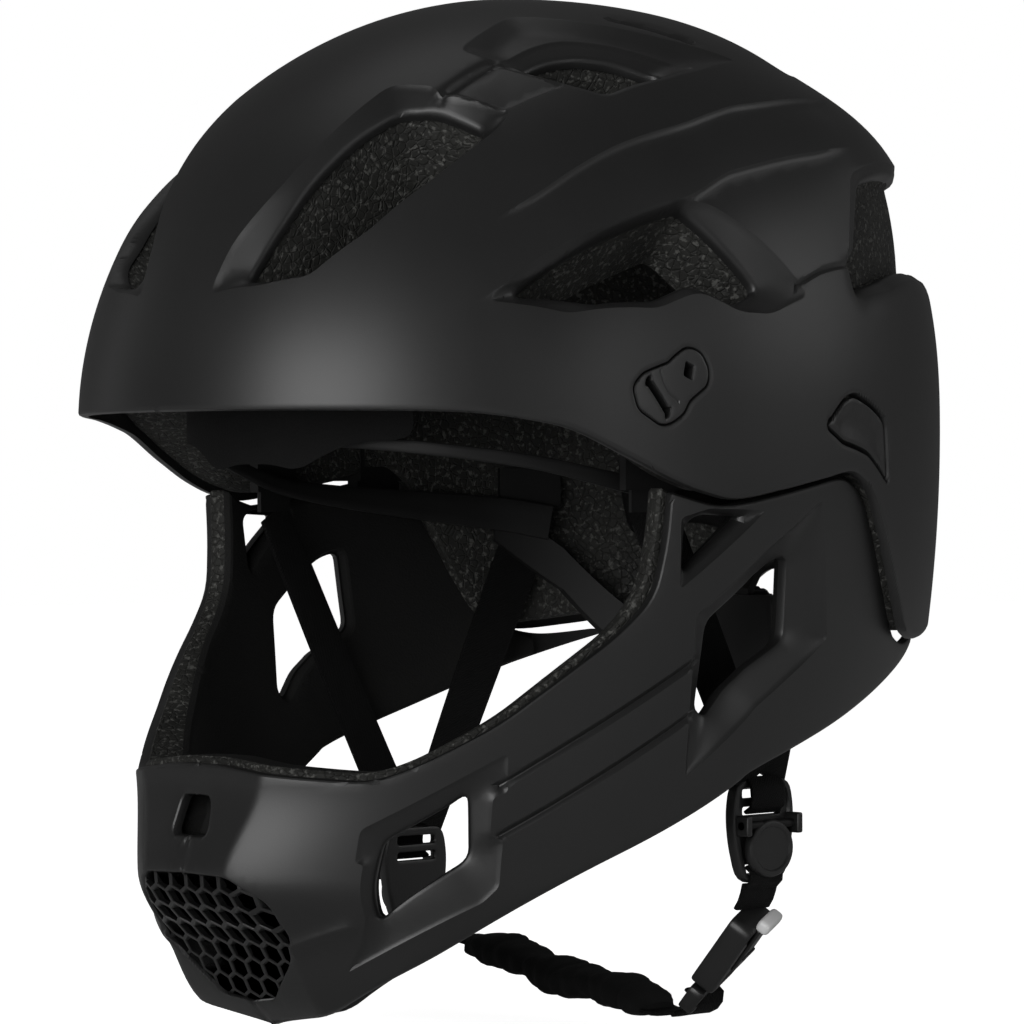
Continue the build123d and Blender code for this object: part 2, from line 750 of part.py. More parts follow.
# Fit system: two arms round the nape, a fixed strip to the brow, a dial between
def band_sector(radius, thick, start, end):
    ring = Cylinder(radius + thick / 2, 2 * tall) - Cylinder(radius - thick / 2, 2 * tall)
    reach = 2 * radius
    steps = [start + (end - start) * i / 4 for i in range(5)]
    corners = [(reach * math.cos(math.radians(a)), reach * math.sin(math.radians(a))) for a in steps]
    wedge = extrude(make_face(Polyline((0, 0), *corners, close=True)), amount=tall, both=True)
    return Pos(0, band_centre_y, 0) * (ring & wedge)


pitch_angle = 360 * pinion_radius / pinion_teeth / band_radius
rack_root = pinion_radius + pinion_tooth / 2 + 0.2 * pinion_tooth


# Upper and lower edge of an arm from the housing forwards, as shares of the neck's place and the band's edges
arm_upper_shares = [(0.955, 1), (0.82, 0.67), (0.63, 0.37), (0.5, 0.35)]
arm_lower_shares = [(0.5, 0.48), (0.63, 0.5), (0.82, 0.72), (0.955, 1)]


def make_band_arm(side):
    below = side > 0
    rack_low = dial_level - rack_root - rack_height if below else dial_level + rack_root
    rack_high = rack_low + rack_height
    band_low = dial_level - rack_root - rack_height
    band_high = dial_level + rack_root + rack_height
    rear = band_centre_y + band_radius + over
    neck = band_centre_y + math.sqrt(band_radius ** 2 - (housing_half_width + over * 2) ** 2)
    outline = [(rear, rack_low), (rear, rack_high), (neck, rack_high), (neck, band_high)]
    outline += [(neck * y_share, band_high * z_share) for y_share, z_share in arm_upper_shares]
    outline += [(neck * y_share, band_low * z_share) for y_share, z_share in arm_lower_shares]
    outline += [(neck, band_low), (neck, rack_low)]
    corners = [point for point, before in zip(outline, outline[-1:] + outline) if point != before]
    arm = band_sector(band_radius, band_thick, band_start, 90 + band_lap)
    arm = arm & side_prism(Polyline(*corners, close=True))
    tooth_level = rack_high if below else rack_low
    inward = 1 if below else -1
    for i in range(-rack_turns, int(band_lap / pitch_angle)):
        turn = 90 + (i + 0.5) * pitch_angle
        tooth = Box(band_thick * 0.98, pinion_tooth * 1.2, pinion_tooth * 2.2)
        tooth = Pos(band_radius, 0, tooth_level - inward * pinion_tooth * 0.1) * tooth
        arm = arm + Pos(0, band_centre_y, 0) * Rot(0, 0, turn) * tooth
    return arm if side > 0 else mirror(arm, about=Plane.YZ)


def dial_place():
    return Plane((0, band_centre_y + band_radius, dial_level), x_dir=(1, 0, 0), z_dir=(0, 1, 0)).location


housing_outer = band_radius + band_thick / 2 + band_gap + housing_wall
housing_inner = band_radius - band_thick / 2 - band_gap - housing_wall


def make_dial_housing():
    box = Box(2 * housing_half_width, 2 * band_radius, 2 * housing_half_height)
    box = Pos(0, band_centre_y + band_radius, dial_level) * box
    room_height = 2 * (rack_root + rack_height + band_gap)
    tunnel = Pos(0, band_centre_y + band_radius, dial_level) * Box(4 * housing_half_width, 2 * band_radius, room_height)
    ring = Cylinder(housing_outer, tall) - Cylinder(housing_inner, 2 * tall)
    slot = Cylinder(housing_outer - housing_wall, tall) - Cylinder(housing_inner + housing_wall, 2 * tall)
    here = Pos(0, band_centre_y, dial_level)
    body = (here * ring & box) - (here * slot & tunnel)
    return body - dial_place() * Pos(0, 0, band_radius / 2) * Cylinder(shaft_radius + shaft_gap, band_radius)


def make_dial_pinion():
    root = pinion_radius - pinion_tooth / 2 - 0.2 * pinion_tooth
    gear = Cylinder(root, pinion_thick)
    for i in range(pinion_teeth):
        tooth = Pos(root + pinion_tooth / 2, 0) * Box(1.4 * pinion_tooth, pinion_tooth * 1.1, pinion_thick)
        gear = gear + Rot(0, 0, 90 + 360 * i / pinion_teeth) * tooth
    length = housing_outer - band_radius + knob_gap
    shaft = Pos(0, 0, length / 2) * Cylinder(shaft_radius, length)
    gear = gear + shaft
    return dial_place() * (gear - Pos(0, 0, length / 2 + over) * Cylinder(screw_radius, length + 2 * over))


def make_dial_knob():
    low = housing_outer - band_radius + knob_gap
    knob = Pos(0, 0, low + knob_thick / 2) * Cylinder(knob_radius, knob_thick)
    knob = chamfer(knob.edges().group_by(Axis.Z)[-1], knob_thick / 5)
    for i in range(knob_ridges):
        groove = Cylinder(knob_groove_radius, knob_thick * 2)
        groove = Pos(knob_radius + knob_groove_radius / 3, 0, low + knob_thick / 2) * groove
        knob = knob - Rot(0, 0, 360 * i / knob_ridges) * groove
    knob = knob - Pos(0, 0, low + knob_thick / 2) * Cylinder(screw_radius, 2 * knob_thick)
    seat = Cylinder(screw_head_radius + shaft_gap * 2, screw_head_thick)
    seat = Pos(0, 0, low + knob_thick - screw_head_thick / 2) * seat
    return dial_place() * (knob - seat)


def make_dial_screw():
    top = housing_outer - band_radius + knob_gap + knob_thick
    low = pinion_thick / 2
    shank = Pos(0, 0, (top + low) / 2) * Cylinder(screw_radius, top - low)
    head = Pos(0, 0, top - screw_head_thick / 2) * Cylinder(screw_head_radius, screw_head_thick)
    return dial_place() * (shank + head)


def make_headband_strip():
    outer = Ellipse(strip_half_width + strip_thick / 2, strip_front + strip_thick / 2)
    inner = Ellipse(strip_half_width - strip_thick / 2, strip_front - strip_thick / 2)
    ring = extrude(outer - inner, amount=tall, both=True)
    outline = [(y * strip_front, z * strip_front) for y, z in strip_shares]
    return ring & side_prism(Polyline(*outline, close=True))


strip_shares = [
    (-1.06, -0.02), (-0.57, -0.08), (-0.22, -0.15), (0.58, -0.215), (0.72, -0.24),
    (0.72, -0.37), (0.58, -0.35), (-0.22, -0.245), (-0.57, -0.175), (-1.06, -0.13),
]


def make_headband_yoke():
    foot = dial_level + housing_half_height
    heel = band_centre_y + band_radius
    corner = cavity_ring_point(turns[5], 0)
    seat = cavity_rear - (cavity_rear - corner.Y) * yoke_half_width / corner.X - lining_gap
    line = [
        (heel, foot), (heel + yoke_thick, foot), (seat, yoke_seat_low), (seat, yoke_seat_top),
        (seat - yoke_thick, yoke_seat_top), (seat - yoke_thick, yoke_seat_low + over / 2), (heel, foot + yoke_thick),
    ]
    return side_prism(Polyline(*line, close=True), yoke_half_width)


# Comfort pads, cut from a layer on the liner's inner wall
def pad_layer_solid():
    outer = dome_solid(pad_to_liner, cavity_ring_point, cavity_height)
    inner = dome_solid(pad_to_liner + pad_layer, cavity_ring_point, cavity_height)
    return outer - inner


def pad_from(layer, x_span, y_span, z_span):
    size = [high - low for low, high in (x_span, y_span, z_span)]
    centre = [(high + low) / 2 for low, high in (x_span, y_span, z_span)]
    return layer & Pos(*centre) * Box(*size)


def span(size, low_share, high_share):
    return size * low_share, size * high_share


def make_pads(layer):
    pads = {}
    half = cavity_half_width
    pads["brow_pad"] = pad_from(layer, span(half, -0.72, 0.72), span(cavity_front, -1.1, -0.48), span(half, -0.15, 0.26))
    side = pad_from(layer, span(half, 0, 1.1), span(cavity_front, -0.2, 0.45), span(half, 0.03, 0.42))
    nape = pad_from(layer, span(half, 0.13, 0.55), span(cavity_rear, 0.5, 1.1), span(half, -0.44, -0.08))
    for name, pad in (("side_pad", side), ("nape_pad", nape)):
        left, right = both_sides(pad)
        pads[name + "_left"] = left
        pads[name + "_right"] = right
    middle = pad_from(layer, span(half, -0.11, 0.11), span(cavity_front, -0.6, 0.6), span(half, 0.75, 1.3))
    flank = pad_from(layer, span(half, 0.32, 0.54), span(cavity_front, -0.42, 0.5), span(half, 0.75, 1.3))
    pads["crown_pads"] = Compound(children=[middle, *both_sides(flank)])
    return pads


def save(name, shape):
    solids = shape.solids()
    print(name, len(solids), round(sum(solid.volume for solid in solids)))
    export_step(shape, f"parts/{name}.step")


def save_pair(name, shape):
    for side, solid in zip(("left", "right"), both_sides(shape)):
        save(f"{name}_{side}", solid)


outer = dome_solid(0)
inner = dome_solid(shell_wall)
liner_skin = dome_solid(shell_wall + shell_to_liner)
button_skin = dome_solid(button_inset)
button_back = dome_solid(button_inset + button_thick)

save("outer_shell", make_outer_shell(outer, inner))
liner = make_impact_liner(liner_skin)
for spot, angle in ((front_root, front_root_angle), (rear_root, rear_root_angle)):
    for room in both_sides(strap_root_room(spot, angle)):
        liner = liner - room
save("impact_liner", liner)
save_pair("visor_anchor", make_visor_anchor(dome_solid(anchor_inset)))
save_pair("release_button", make_release_button(button_skin, button_back))
save_pair("button_spring", make_button_spring(button_back))
save_pair("guard_socket", make_guard_socket())

guard_outer = guard_solid(0)
guard_inner = guard_solid(guard_wall)
lining_outer = guard_solid(guard_wall + lining_gap)
profile = guard_profile()
lining_profile = guard_profile(lining_gap)
save("chin_guard", make_chin_guard(guard_outer, guard_inner, profile))
save_pair("guard_post", guard_post()[0])
save("chin_grille", make_chin_grille(guard_outer, guard_solid(grille_wall)))
save_pair("guard_liner", make_guard_liner(lining_outer, guard_solid(guard_wall + guard_lining), lining_profile))
save("chin_pad", make_chin_pad(lining_outer, guard_solid(guard_wall + chin_lining), lining_profile))

for name, pad in make_pads(pad_layer_solid()).items():
    save(name, pad)

roots = both_sides(strap_root(front_root, front_root_angle)) + both_sides(strap_root(rear_root, rear_root_angle))
save("strap_anchors", Compound(children=roots))
for side, level in (("left", divider_level_left), ("right", divider_level_right)):
    pieces = {
        "front_strap": front_strap(level),
        "rear_strap": rear_strap(level),
        "strap_divider": make_divider(level),
        "divider_lever": make_lever(level),
        "divider_pin": make_pin(level),
    }
    for name, piece in pieces.items():
        save(f"{name}_{side}", piece if side == "left" else mirror(piece, about=Plane.YZ))
save("lower_strap_left", webbing_path(lower_route_left))
save("buckle_socket", make_buckle_socket())
save("buckle_tab", make_buckle_tab())
save("buckle_tongue", make_buckle_tongue())
save("chin_strap", webbing_path(chin_route))
save("chin_strap_pad", make_chin_pad_sleeve())

save("headband_left", make_band_arm(1))
save("headband_right", make_band_arm(-1))
save("dial_housing", make_dial_housing())
save("dial_pinion", make_dial_pinion())
save("dial_knob", make_dial_knob())
save("dial_screw", make_dial_screw())
save("headband_front", make_headband_strip())
save("headband_yoke", make_headband_yoke())
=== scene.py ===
# Downhill bike full face helmet with a chin guard that pulls off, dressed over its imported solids
import math
import bpy
import numpy as np
from mathutils import Matrix, Vector, kdtree
from mathutils.geometry import delaunay_2d_cdt


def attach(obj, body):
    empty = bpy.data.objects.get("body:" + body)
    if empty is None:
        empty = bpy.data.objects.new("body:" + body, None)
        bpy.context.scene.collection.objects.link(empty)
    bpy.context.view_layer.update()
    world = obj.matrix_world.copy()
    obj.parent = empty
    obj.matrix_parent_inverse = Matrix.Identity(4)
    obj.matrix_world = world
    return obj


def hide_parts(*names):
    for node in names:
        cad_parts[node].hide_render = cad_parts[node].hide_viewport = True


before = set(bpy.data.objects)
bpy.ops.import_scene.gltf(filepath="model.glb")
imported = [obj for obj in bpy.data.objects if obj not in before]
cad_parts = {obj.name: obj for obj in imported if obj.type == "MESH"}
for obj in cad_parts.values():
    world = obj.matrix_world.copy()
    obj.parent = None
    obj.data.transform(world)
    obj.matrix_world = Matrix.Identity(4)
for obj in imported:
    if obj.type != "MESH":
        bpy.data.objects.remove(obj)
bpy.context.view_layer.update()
mm = 0.001
print("frame loaded")


# Camera and studio
camera = {
    "target": (1.06, -1.34, -26.1),   # mm, the middle of the picture
    "distance": 1360.0,               # mm
    "right": (0.7071, 0.7071, 0.0),
    "back": (0.7071, -0.7071, 0.0052),
    "roll": -0.3,                     # degrees
    "lens": 160.7,
    "sensor": 36.0,
    "clip": (0.05, 20.0),             # metres
}


def makeCamera():
    data = bpy.data.cameras.new("camera")
    data.lens = camera["lens"]
    data.sensor_width = camera["sensor"]
    data.clip_start, data.clip_end = camera["clip"]
    obj = bpy.data.objects.new("camera", data)
    bpy.context.scene.collection.objects.link(obj)
    back = Vector(camera["back"]).normalized()
    up = back.cross(Vector(camera["right"])).normalized()
    up = Matrix.Rotation(math.radians(camera["roll"]), 3, back) @ up
    right = up.cross(back)
    standing = Matrix((right, up, back)).transposed().to_4x4()
    standing.translation = (Vector(camera["target"]) + back * camera["distance"]) * mm
    obj.matrix_world = standing
    bpy.context.scene.camera = obj


studio = {
    "floorLevel": -0.1795,
    "floorSize": 8.0,
    "background": (0.93, 0.93, 0.93, 1),
    "white": (1, 1, 1, 1),
    "ambient": 0.10,
    "floorGlow": 0.93,
    "aim": (0, 0, -0.03),
    # name: place in metres, width, height, watts
    "lamps": {
        "key": ((0.62, -1.65, 0.24), 1.2, 1.0, 21.0),
        "side": ((1.8, 0.25, 0.35), 0.4, 0.9, 2.4),
        "top": ((-0.4, 0.2, 1.7), 1.0, 0.8, 1.6),
        "left": ((-1.6, -0.5, 0.3), 0.4, 1.0, 0.5),
        "low": ((0.9, -1.3, -0.05), 0.9, 0.35, 0.4),
        "behind": ((1.1, 1.4, 0.6), 0.5, 0.8, 2.5),
    },
}


def addNode(tree, kind, **values):
    node = tree.nodes.new(kind)
    for name, value in values.items():
        if name in node.inputs:
            node.inputs[name].default_value = value
        else:
            setattr(node, name, value)
    return node


# The camera sees one shader where the helmet is lit by the other
def seenAs(tree, lit, seen):
    mix = addNode(tree, "ShaderNodeMixShader")
    path = addNode(tree, "ShaderNodeLightPath")
    tree.links.new(path.outputs["Is Camera Ray"], mix.inputs[0])
    tree.links.new(lit.outputs[0], mix.inputs[1])
    tree.links.new(seen.outputs[0], mix.inputs[2])
    return mix.outputs[0]


def makeWorld():
    world = bpy.data.worlds.new("studio")
    bpy.context.scene.world = world
    world.use_nodes = True
    tree = world.node_tree
    tree.nodes.clear()
    ambient = addNode(tree, "ShaderNodeBackground", Color=studio["background"], Strength=studio["ambient"])
    seen = addNode(tree, "ShaderNodeBackground", Color=studio["white"])
    end = addNode(tree, "ShaderNodeOutputWorld")
    tree.links.new(seenAs(tree, ambient, seen), end.inputs[0])


def makeLamps():
    aim = Vector(studio["aim"])
    for name, (spot, width, height, watts) in studio["lamps"].items():
        data = bpy.data.lights.new(name, "AREA")
        data.shape = "RECTANGLE"
        data.size = width
        data.size_y = height
        data.energy = watts
        lamp = bpy.data.objects.new(name, data)
        bpy.context.scene.collection.objects.link(lamp)
        lamp.location = spot
        lamp.rotation_euler = (aim - Vector(spot)).to_track_quat("-Z", "Y").to_euler()


def makeFloor():
    bpy.ops.object.select_all(action="DESELECT")
    bpy.ops.mesh.primitive_plane_add(size=studio["floorSize"], location=(0, 0, studio["floorLevel"]))
    floor = bpy.context.object
    floor.name = "floor"
    paper = bpy.data.materials.new("floor paper")
    paper.use_nodes = True
    tree = paper.node_tree
    tree.nodes.clear()
    sheet = addNode(tree, "ShaderNodeBsdfDiffuse", Color=studio["background"])
    glow = addNode(tree, "ShaderNodeEmission", Color=studio["white"], Strength=studio["floorGlow"])
    both = addNode(tree, "ShaderNodeAddShader")
    tree.links.new(sheet.outputs[0], both.inputs[0])
    tree.links.new(glow.outputs[0], both.inputs[1])
    end = addNode(tree, "ShaderNodeOutputMaterial")
    tree.links.new(seenAs(tree, sheet, both), end.inputs["Surface"])
    floor.data.materials.append(paper)


makeCamera()
makeWorld()
makeLamps()
makeFloor()
bpy.context.scene.view_settings.view_transform = "Standard"
print("camera and studio placed")


# Finishes: a colour is a grey, or red, green and blue
def tone(colour):
    return (*colour, 1) if isinstance(colour, tuple) else (colour, colour, colour, 1)


def addRange(tree, value, fromMin=0.0, fromMax=1.0, toMin=0.0, toMax=1.0):
    node = addNode(tree, "ShaderNodeMapRange")
    node.inputs["From Min"].default_value = fromMin
    node.inputs["From Max"].default_value = fromMax
    node.inputs["To Min"].default_value = toMin
    node.inputs["To Max"].default_value = toMax
    tree.links.new(value, node.inputs["Value"])
    return node.outputs["Result"]


def addMix(tree, factor, first, second, blend="MIX"):
    node = addNode(tree, "ShaderNodeMix", data_type="RGBA", blend_type=blend)
    for socket, value in (("Factor", factor), (6, first), (7, second)):
        if isinstance(value, bpy.types.NodeSocket):
            tree.links.new(value, node.inputs[socket])
        else:
            node.inputs[socket].default_value = value
    return node.outputs[2]


def addTexture(tree, kind, where, **values):
    node = addNode(tree, kind, **values)
    tree.links.new(where, node.inputs["Vector"])
    return node


# Foam: beads with seams between them, and a few pale dots
def addSpecks(tree, where, colour, speck):
    beads = addTexture(tree, "ShaderNodeTexVoronoi", where, Scale=speck["scale"], feature="DISTANCE_TO_EDGE")
    seams = addRange(tree, beads.outputs["Distance"], fromMax=0.12)
    dots = addTexture(tree, "ShaderNodeTexNoise", where, Scale=speck["dots"], Detail=2.0)
    few = addRange(tree, dots.outputs["Fac"], fromMin=0.56, fromMax=0.66)
    return addMix(tree, few, colour, tone(speck["colour"])), seams


# Cloth: diagonal ribs crossed by the weft, with painted shade in the gaps and painted light on the ribs' tops
def addWeave(tree, uv, colour, threads):
    turned = addTexture(tree, "ShaderNodeMapping", uv)
    turned.inputs["Scale"].default_value = (threads, threads, 1)
    flat = turned.outputs["Vector"]
    ribs = addTexture(tree, "ShaderNodeTexWave", flat, Scale=1.0, Distortion=0.4, bands_direction="DIAGONAL")
    ribs.inputs["Detail Scale"].default_value = 2.0
    cross = addTexture(tree, "ShaderNodeTexWave", flat, Scale=2.0, Distortion=0.6, bands_direction="X")
    joined = addNode(tree, "ShaderNodeMath", operation="MULTIPLY")
    tree.links.new(ribs.outputs["Fac"], joined.inputs[0])
    tree.links.new(cross.outputs["Fac"], joined.inputs[1])
    height = joined.outputs[0]
    # painted shade and light: the colour follows the weave's height, darker in the gaps and lighter on the
    # ribs
    shade = addRange(tree, height, toMin=0.45, toMax=1.25)
    return addMix(tree, 0.6, colour, shade, "MULTIPLY"), height


def finish(
        name, dark, light, rough, grain, bump, patches=18.0, speck=None, threads=None, metal=0.0, shine=0.5):
    made = bpy.data.materials.new(name)
    made.use_nodes = True
    tree = made.node_tree
    shader = tree.nodes["Principled BSDF"]
    shader.inputs["Metallic"].default_value = metal
    shader.inputs["Specular IOR Level"].default_value = shine
    coords = addNode(tree, "ShaderNodeTexCoord")
    where = coords.outputs["Object"]
    cloud = addTexture(tree, "ShaderNodeTexNoise", where, Scale=patches, Detail=4.0).outputs["Fac"]
    ramp = addNode(tree, "ShaderNodeValToRGB")
    for element, position, grey in zip(ramp.color_ramp.elements, (0.3, 0.7), (dark, light)):
        element.position = position
        element.color = tone(grey)
    tree.links.new(cloud, ramp.inputs["Fac"])
    colour = ramp.outputs["Color"]
    if speck:
        colour, height = addSpecks(tree, where, colour, speck)
    elif threads:
        colour, height = addWeave(tree, coords.outputs["UV"], colour, threads)
    else:
        height = addTexture(tree, "ShaderNodeTexNoise", where, Scale=grain, Detail=3.0).outputs["Fac"]
    relief = addNode(tree, "ShaderNodeBump", Strength=bump[0], Distance=bump[1])
    tree.links.new(height, relief.inputs["Height"])
    tree.links.new(relief.outputs["Normal"], shader.inputs["Normal"])
    tree.links.new(colour, shader.inputs["Base Color"])
    tree.links.new(addRange(tree, cloud, toMin=rough[0], toMax=rough[1]), shader.inputs["Roughness"])
    return made


matteShell = finish("matte black shell", 0.009, 0.013, (0.38, 0.45), 2600.0, (0.10, 0.0002))
matteGuard = finish("matte black guard", 0.009, 0.012, (0.36, 0.43), 2600.0, (0.10, 0.0002))
satinPlastic = finish("satin moulded plastic", 0.008, 0.012, (0.32, 0.42), 1900.0, (0.12, 0.0002))
anchorPlastic = finish("anchor plastic", 0.015, 0.018, (0.34, 0.4), 1900.0, (0.1, 0.0002))
dullPlastic = finish("dull black plastic", 0.003, 0.005, (0.55, 0.65), 1900.0, (0.12, 0.0002), shine=0.3)
greyTab = finish("grey tab plastic", 0.66, 0.74, (0.35, 0.45), 1600.0, (0.1, 0.0002))
steel = finish("brushed steel", 0.5, 0.6, (0.25, 0.4), 1200.0, (0.1, 0.0001), metal=1.0)
beads = {"scale": 420.0, "dots": 700.0, "colour": (0.075, 0.075, 0.07)}
speckledFoam = finish(
    "speckled bead foam", (0.010, 0.010, 0.009), (0.020, 0.020, 0.018), (0.6, 0.8), None, (0.5, 0.0006),
    patches=60.0, speck=beads, shine=0.3)
liningFoam = finish(
    "soft lining foam", 0.005, (0.009, 0.009, 0.0085), (0.75, 0.9), 1400.0, (0.5, 0.0004), shine=0.25)
padCloth = finish("brushed pad cloth", 0.004, 0.007, (0.8, 0.95), 1600.0, (0.6, 0.0004), shine=0.15)
wovenStrap = finish("woven strap", 0.003, 0.005, (0.6, 0.75), None, (0.8, 0.0005), threads=9.0, shine=0.15)
sleeveCloth = finish("sleeve cloth", 0.010, 0.017, (0.7, 0.85), None, (0.8, 0.0006), threads=26.0, shine=0.25)
print("finishes mixed")


# The shell's and the guard's surfaces, in millimetres
bowls = {
    "shell": {"half": 106.8, "front": 139.5, "rear": 148.0, "height": 126.0, "tuck": 0.035},
    "cavity": {"half": 84.0, "front": 104.0, "rear": 110.0, "height": 97.0, "tuck": 0.0},
}
bowlShape = {
    "planPower": 2.08, "frontPower": 1.92, "rearPower": 2.4, "drop": 80.0,
    "unroll": 150.0, "below": 0.8, "tuckRate": 1.23,
}
guardShape = {
    "levels": [-172, -162, -148, -127, -100, -72, -47, -20, 4],
    "widths": [76.0, 82.0, 86.0, 90.0, 94.0, 97.5, 100.5, 103.0, 104.5],
    "fronts": [104.0, 116.0, 124.0, 136.0, 131.0, 131.5, 132.0, 133.0, 134.0],
    "noses": [96.0, 106.0, 114.0, 131.0, 125.0, 127.0, 128.0, 129.0, 130.0],
    "rears": [104.0, 108.0, 112.0, 118.0, 128.0, 141.0, 143.0, 144.0, 146.0],
    "powers": [1.62, 1.62, 1.62, 1.62, 1.75, 1.82, 1.88, 1.9, 1.9],
    "noseCurve": 0.0022,
    "unroll": 1.9,   # mm for each degree round the guard
}
guardMiddle = -90 * guardShape["unroll"]


# A smooth run through a few marks, without overshoot
def smoothRun(keys, values, at):
    keys = np.array(keys, float)
    values = np.array(values, float)
    steps = np.diff(keys)
    rates = np.diff(values) / steps
    slopes = np.zeros(len(keys))
    inner = rates[:-1] * rates[1:] > 0
    weights = 2 * rates[:-1] * rates[1:] / np.where(inner, rates[:-1] + rates[1:], 1)
    slopes[1:-1] = np.where(inner, weights, 0)
    slopes[0] = rates[0]
    slopes[-1] = rates[-1]
    i = np.clip(np.searchsorted(keys, at) - 1, 0, len(keys) - 2)
    t = np.clip((at - keys[i]) / steps[i], 0, 1)
    rise = 3 * t ** 2 - 2 * t ** 3
    start = steps[i] * slopes[i] * (t ** 3 - 2 * t ** 2 + t)
    end = steps[i] * slopes[i + 1] * (t ** 3 - t ** 2)
    return values[i] * (1 - rise) + values[i + 1] * rise + start + end


# Zero to one between two values, level at both ends
def smoothStep(value, low, high):
    t = np.clip((value - low) / (high - low), 0, 1)
    return 3 * t ** 2 - 2 * t ** 3


def signedPower(value, power):
    return np.sign(value) * np.abs(value) ** power


def bowlPoint(kind, turn, share, inset=0.0):
    bowl = bowls[kind]
    angle = np.radians(turn)
    c = np.cos(angle)
    s = np.sin(angle)
    rearness = np.clip(0.5 + 0.8 * s, 0, 1)
    power = bowlShape["frontPower"] + (bowlShape["rearPower"] - bowlShape["frontPower"]) * rearness
    rise = np.clip(share, 0, 1) * math.pi / 2
    below = np.maximum(share - 1, 0)
    level = (bowl["height"] - inset) * np.maximum(np.cos(rise), 0) ** (2 / power) - below * bowlShape["drop"]
    reach = np.sin(rise) ** (2 / power) * (1 - bowl["tuck"] * (below * bowlShape["tuckRate"]) ** 2)
    long = np.where(s < 0, bowl["front"], bowl["rear"]) - inset
    x = (bowl["half"] - inset) * signedPower(c, 2 / bowlShape["planPower"]) * reach
    y = long * signedPower(s, 2 / bowlShape["planPower"]) * reach
    return np.stack([x, y, level], -1)


def guardAt(mark, level):
    return smoothRun(guardShape["levels"], guardShape[mark], level)


def guardPower(side, level):
    return np.where(side < 0, guardAt("powers", level), 2.0)


def guardLength(side, level):
    return np.where(side < 0, guardAt("fronts", level), guardAt("rears", level))


def guardPoint(turn, level, inset=0.0):
    s = np.sin(np.radians(turn))
    c = np.cos(np.radians(turn))
    power = guardPower(s, level)
    x = (guardAt("widths", level) - inset) * signedPower(c, 2 / power)
    y = (guardLength(s, level) - inset) * signedPower(s, 2 / power)
    nose = -(guardAt("noses", level) - inset) + guardShape["noseCurve"] * x * x
    return np.stack([x, np.maximum(y, nose), level + 0 * x], -1)


# Flat charts of the two surfaces: outlines are drawn and filled there
def bowlChart(marks):
    marks = np.array(marks, float)
    turn = np.radians(marks[:, 0])
    share = marks[:, 1]
    low = bowlShape["unroll"] + (share - 1) * bowlShape["drop"] * bowlShape["below"]
    reach = np.where(share <= 1, bowlShape["unroll"] * share, low)
    return np.stack([reach * np.cos(turn), reach * np.sin(turn)], -1)


def fromBowlChart(chart):
    reach = np.hypot(chart[:, 0], chart[:, 1])
    turn = np.degrees(np.arctan2(chart[:, 1], chart[:, 0]))
    low = 1 + (reach - bowlShape["unroll"]) / (bowlShape["drop"] * bowlShape["below"])
    return turn, np.where(reach <= bowlShape["unroll"], reach / bowlShape["unroll"], low)


def shellPlace(chart, inset=0.0):
    return bowlPoint("shell", *fromBowlChart(chart), inset)


def cavityPlace(chart, inset=0.0):
    return bowlPoint("cavity", *fromBowlChart(chart), inset)


def guardChart(marks):
    marks = np.array(marks, float)
    return np.stack([marks[:, 0] * guardShape["unroll"], marks[:, 1]], -1)


def guardPlace(chart, inset=0.0):
    return guardPoint(chart[:, 0] / guardShape["unroll"], chart[:, 1], inset)


# Where a mark of the side view, or of the front view, lies round the guard
def guardTurn(y, level):
    s = np.clip(np.abs(y) / guardLength(y, level), 0, 1) ** (guardPower(y, level) / 2)
    return np.degrees(np.arcsin(s)) * np.sign(y)


def guardTurnAcross(x, level):
    c = np.clip(x / guardAt("widths", level), 0, 1) ** (guardAt("powers", level) / 2)
    return -np.degrees(np.arccos(c))


# Drawing in the chart: a curve of five points in place of a corner
def roundedCorner(before, here, after, radius):
    back = before - here
    on = after - here
    reach = min(radius, 0.45 * np.hypot(*back), 0.45 * np.hypot(*on))
    start = here + back / max(np.hypot(*back), 1e-9) * reach
    end = here + on / max(np.hypot(*on), 1e-9) * reach
    return reach, [(1 - t) ** 2 * start + 2 * t * (1 - t) * here + t ** 2 * end for t in np.linspace(0, 1, 5)]


def roundedLoop(points, radius, spacing):
    points = np.array(points, float)
    drawn = []
    for i in range(len(points)):
        reach, curve = roundedCorner(points[i - 1], points[i], points[(i + 1) % len(points)], radius)
        drawn += curve if reach > spacing * 0.3 else curve[2:3]
    return divided(drawn, spacing, True)


def roundedPath(points, radius, spacing):
    points = np.array(points, float)
    drawn = [points[0]]
    for before, here, after in zip(points, points[1:], points[2:]):
        drawn += roundedCorner(before, here, after, radius)[1]
    drawn.append(points[-1])
    return divided(drawn, spacing, False)


def divided(points, spacing, closed):
    points = [np.array(p, float) for p in points]
    ends = points[1:] + points[:1] if closed else points[1:]
    drawn = []
    for a, b in zip(points, ends):
        length = np.hypot(*(b - a))
        if length < spacing * 0.15:
            continue
        parts = max(1, round(length / spacing))
        drawn += [a + (b - a) * k / parts for k in range(parts)]
    if not closed:
        drawn.append(points[-1])
    return np.array(drawn)


def insideLoop(points, loop):
    inside = np.zeros(len(points), bool)
    x, y = points[:, 0], points[:, 1]
    for (ax, ay), (bx, by) in zip(loop, np.roll(loop, -1, 0)):
        if ay != by:
            inside ^= ((ay > y) != (by > y)) & (x < (bx - ax) * (y - ay) / (by - ay) + ax)
    return inside


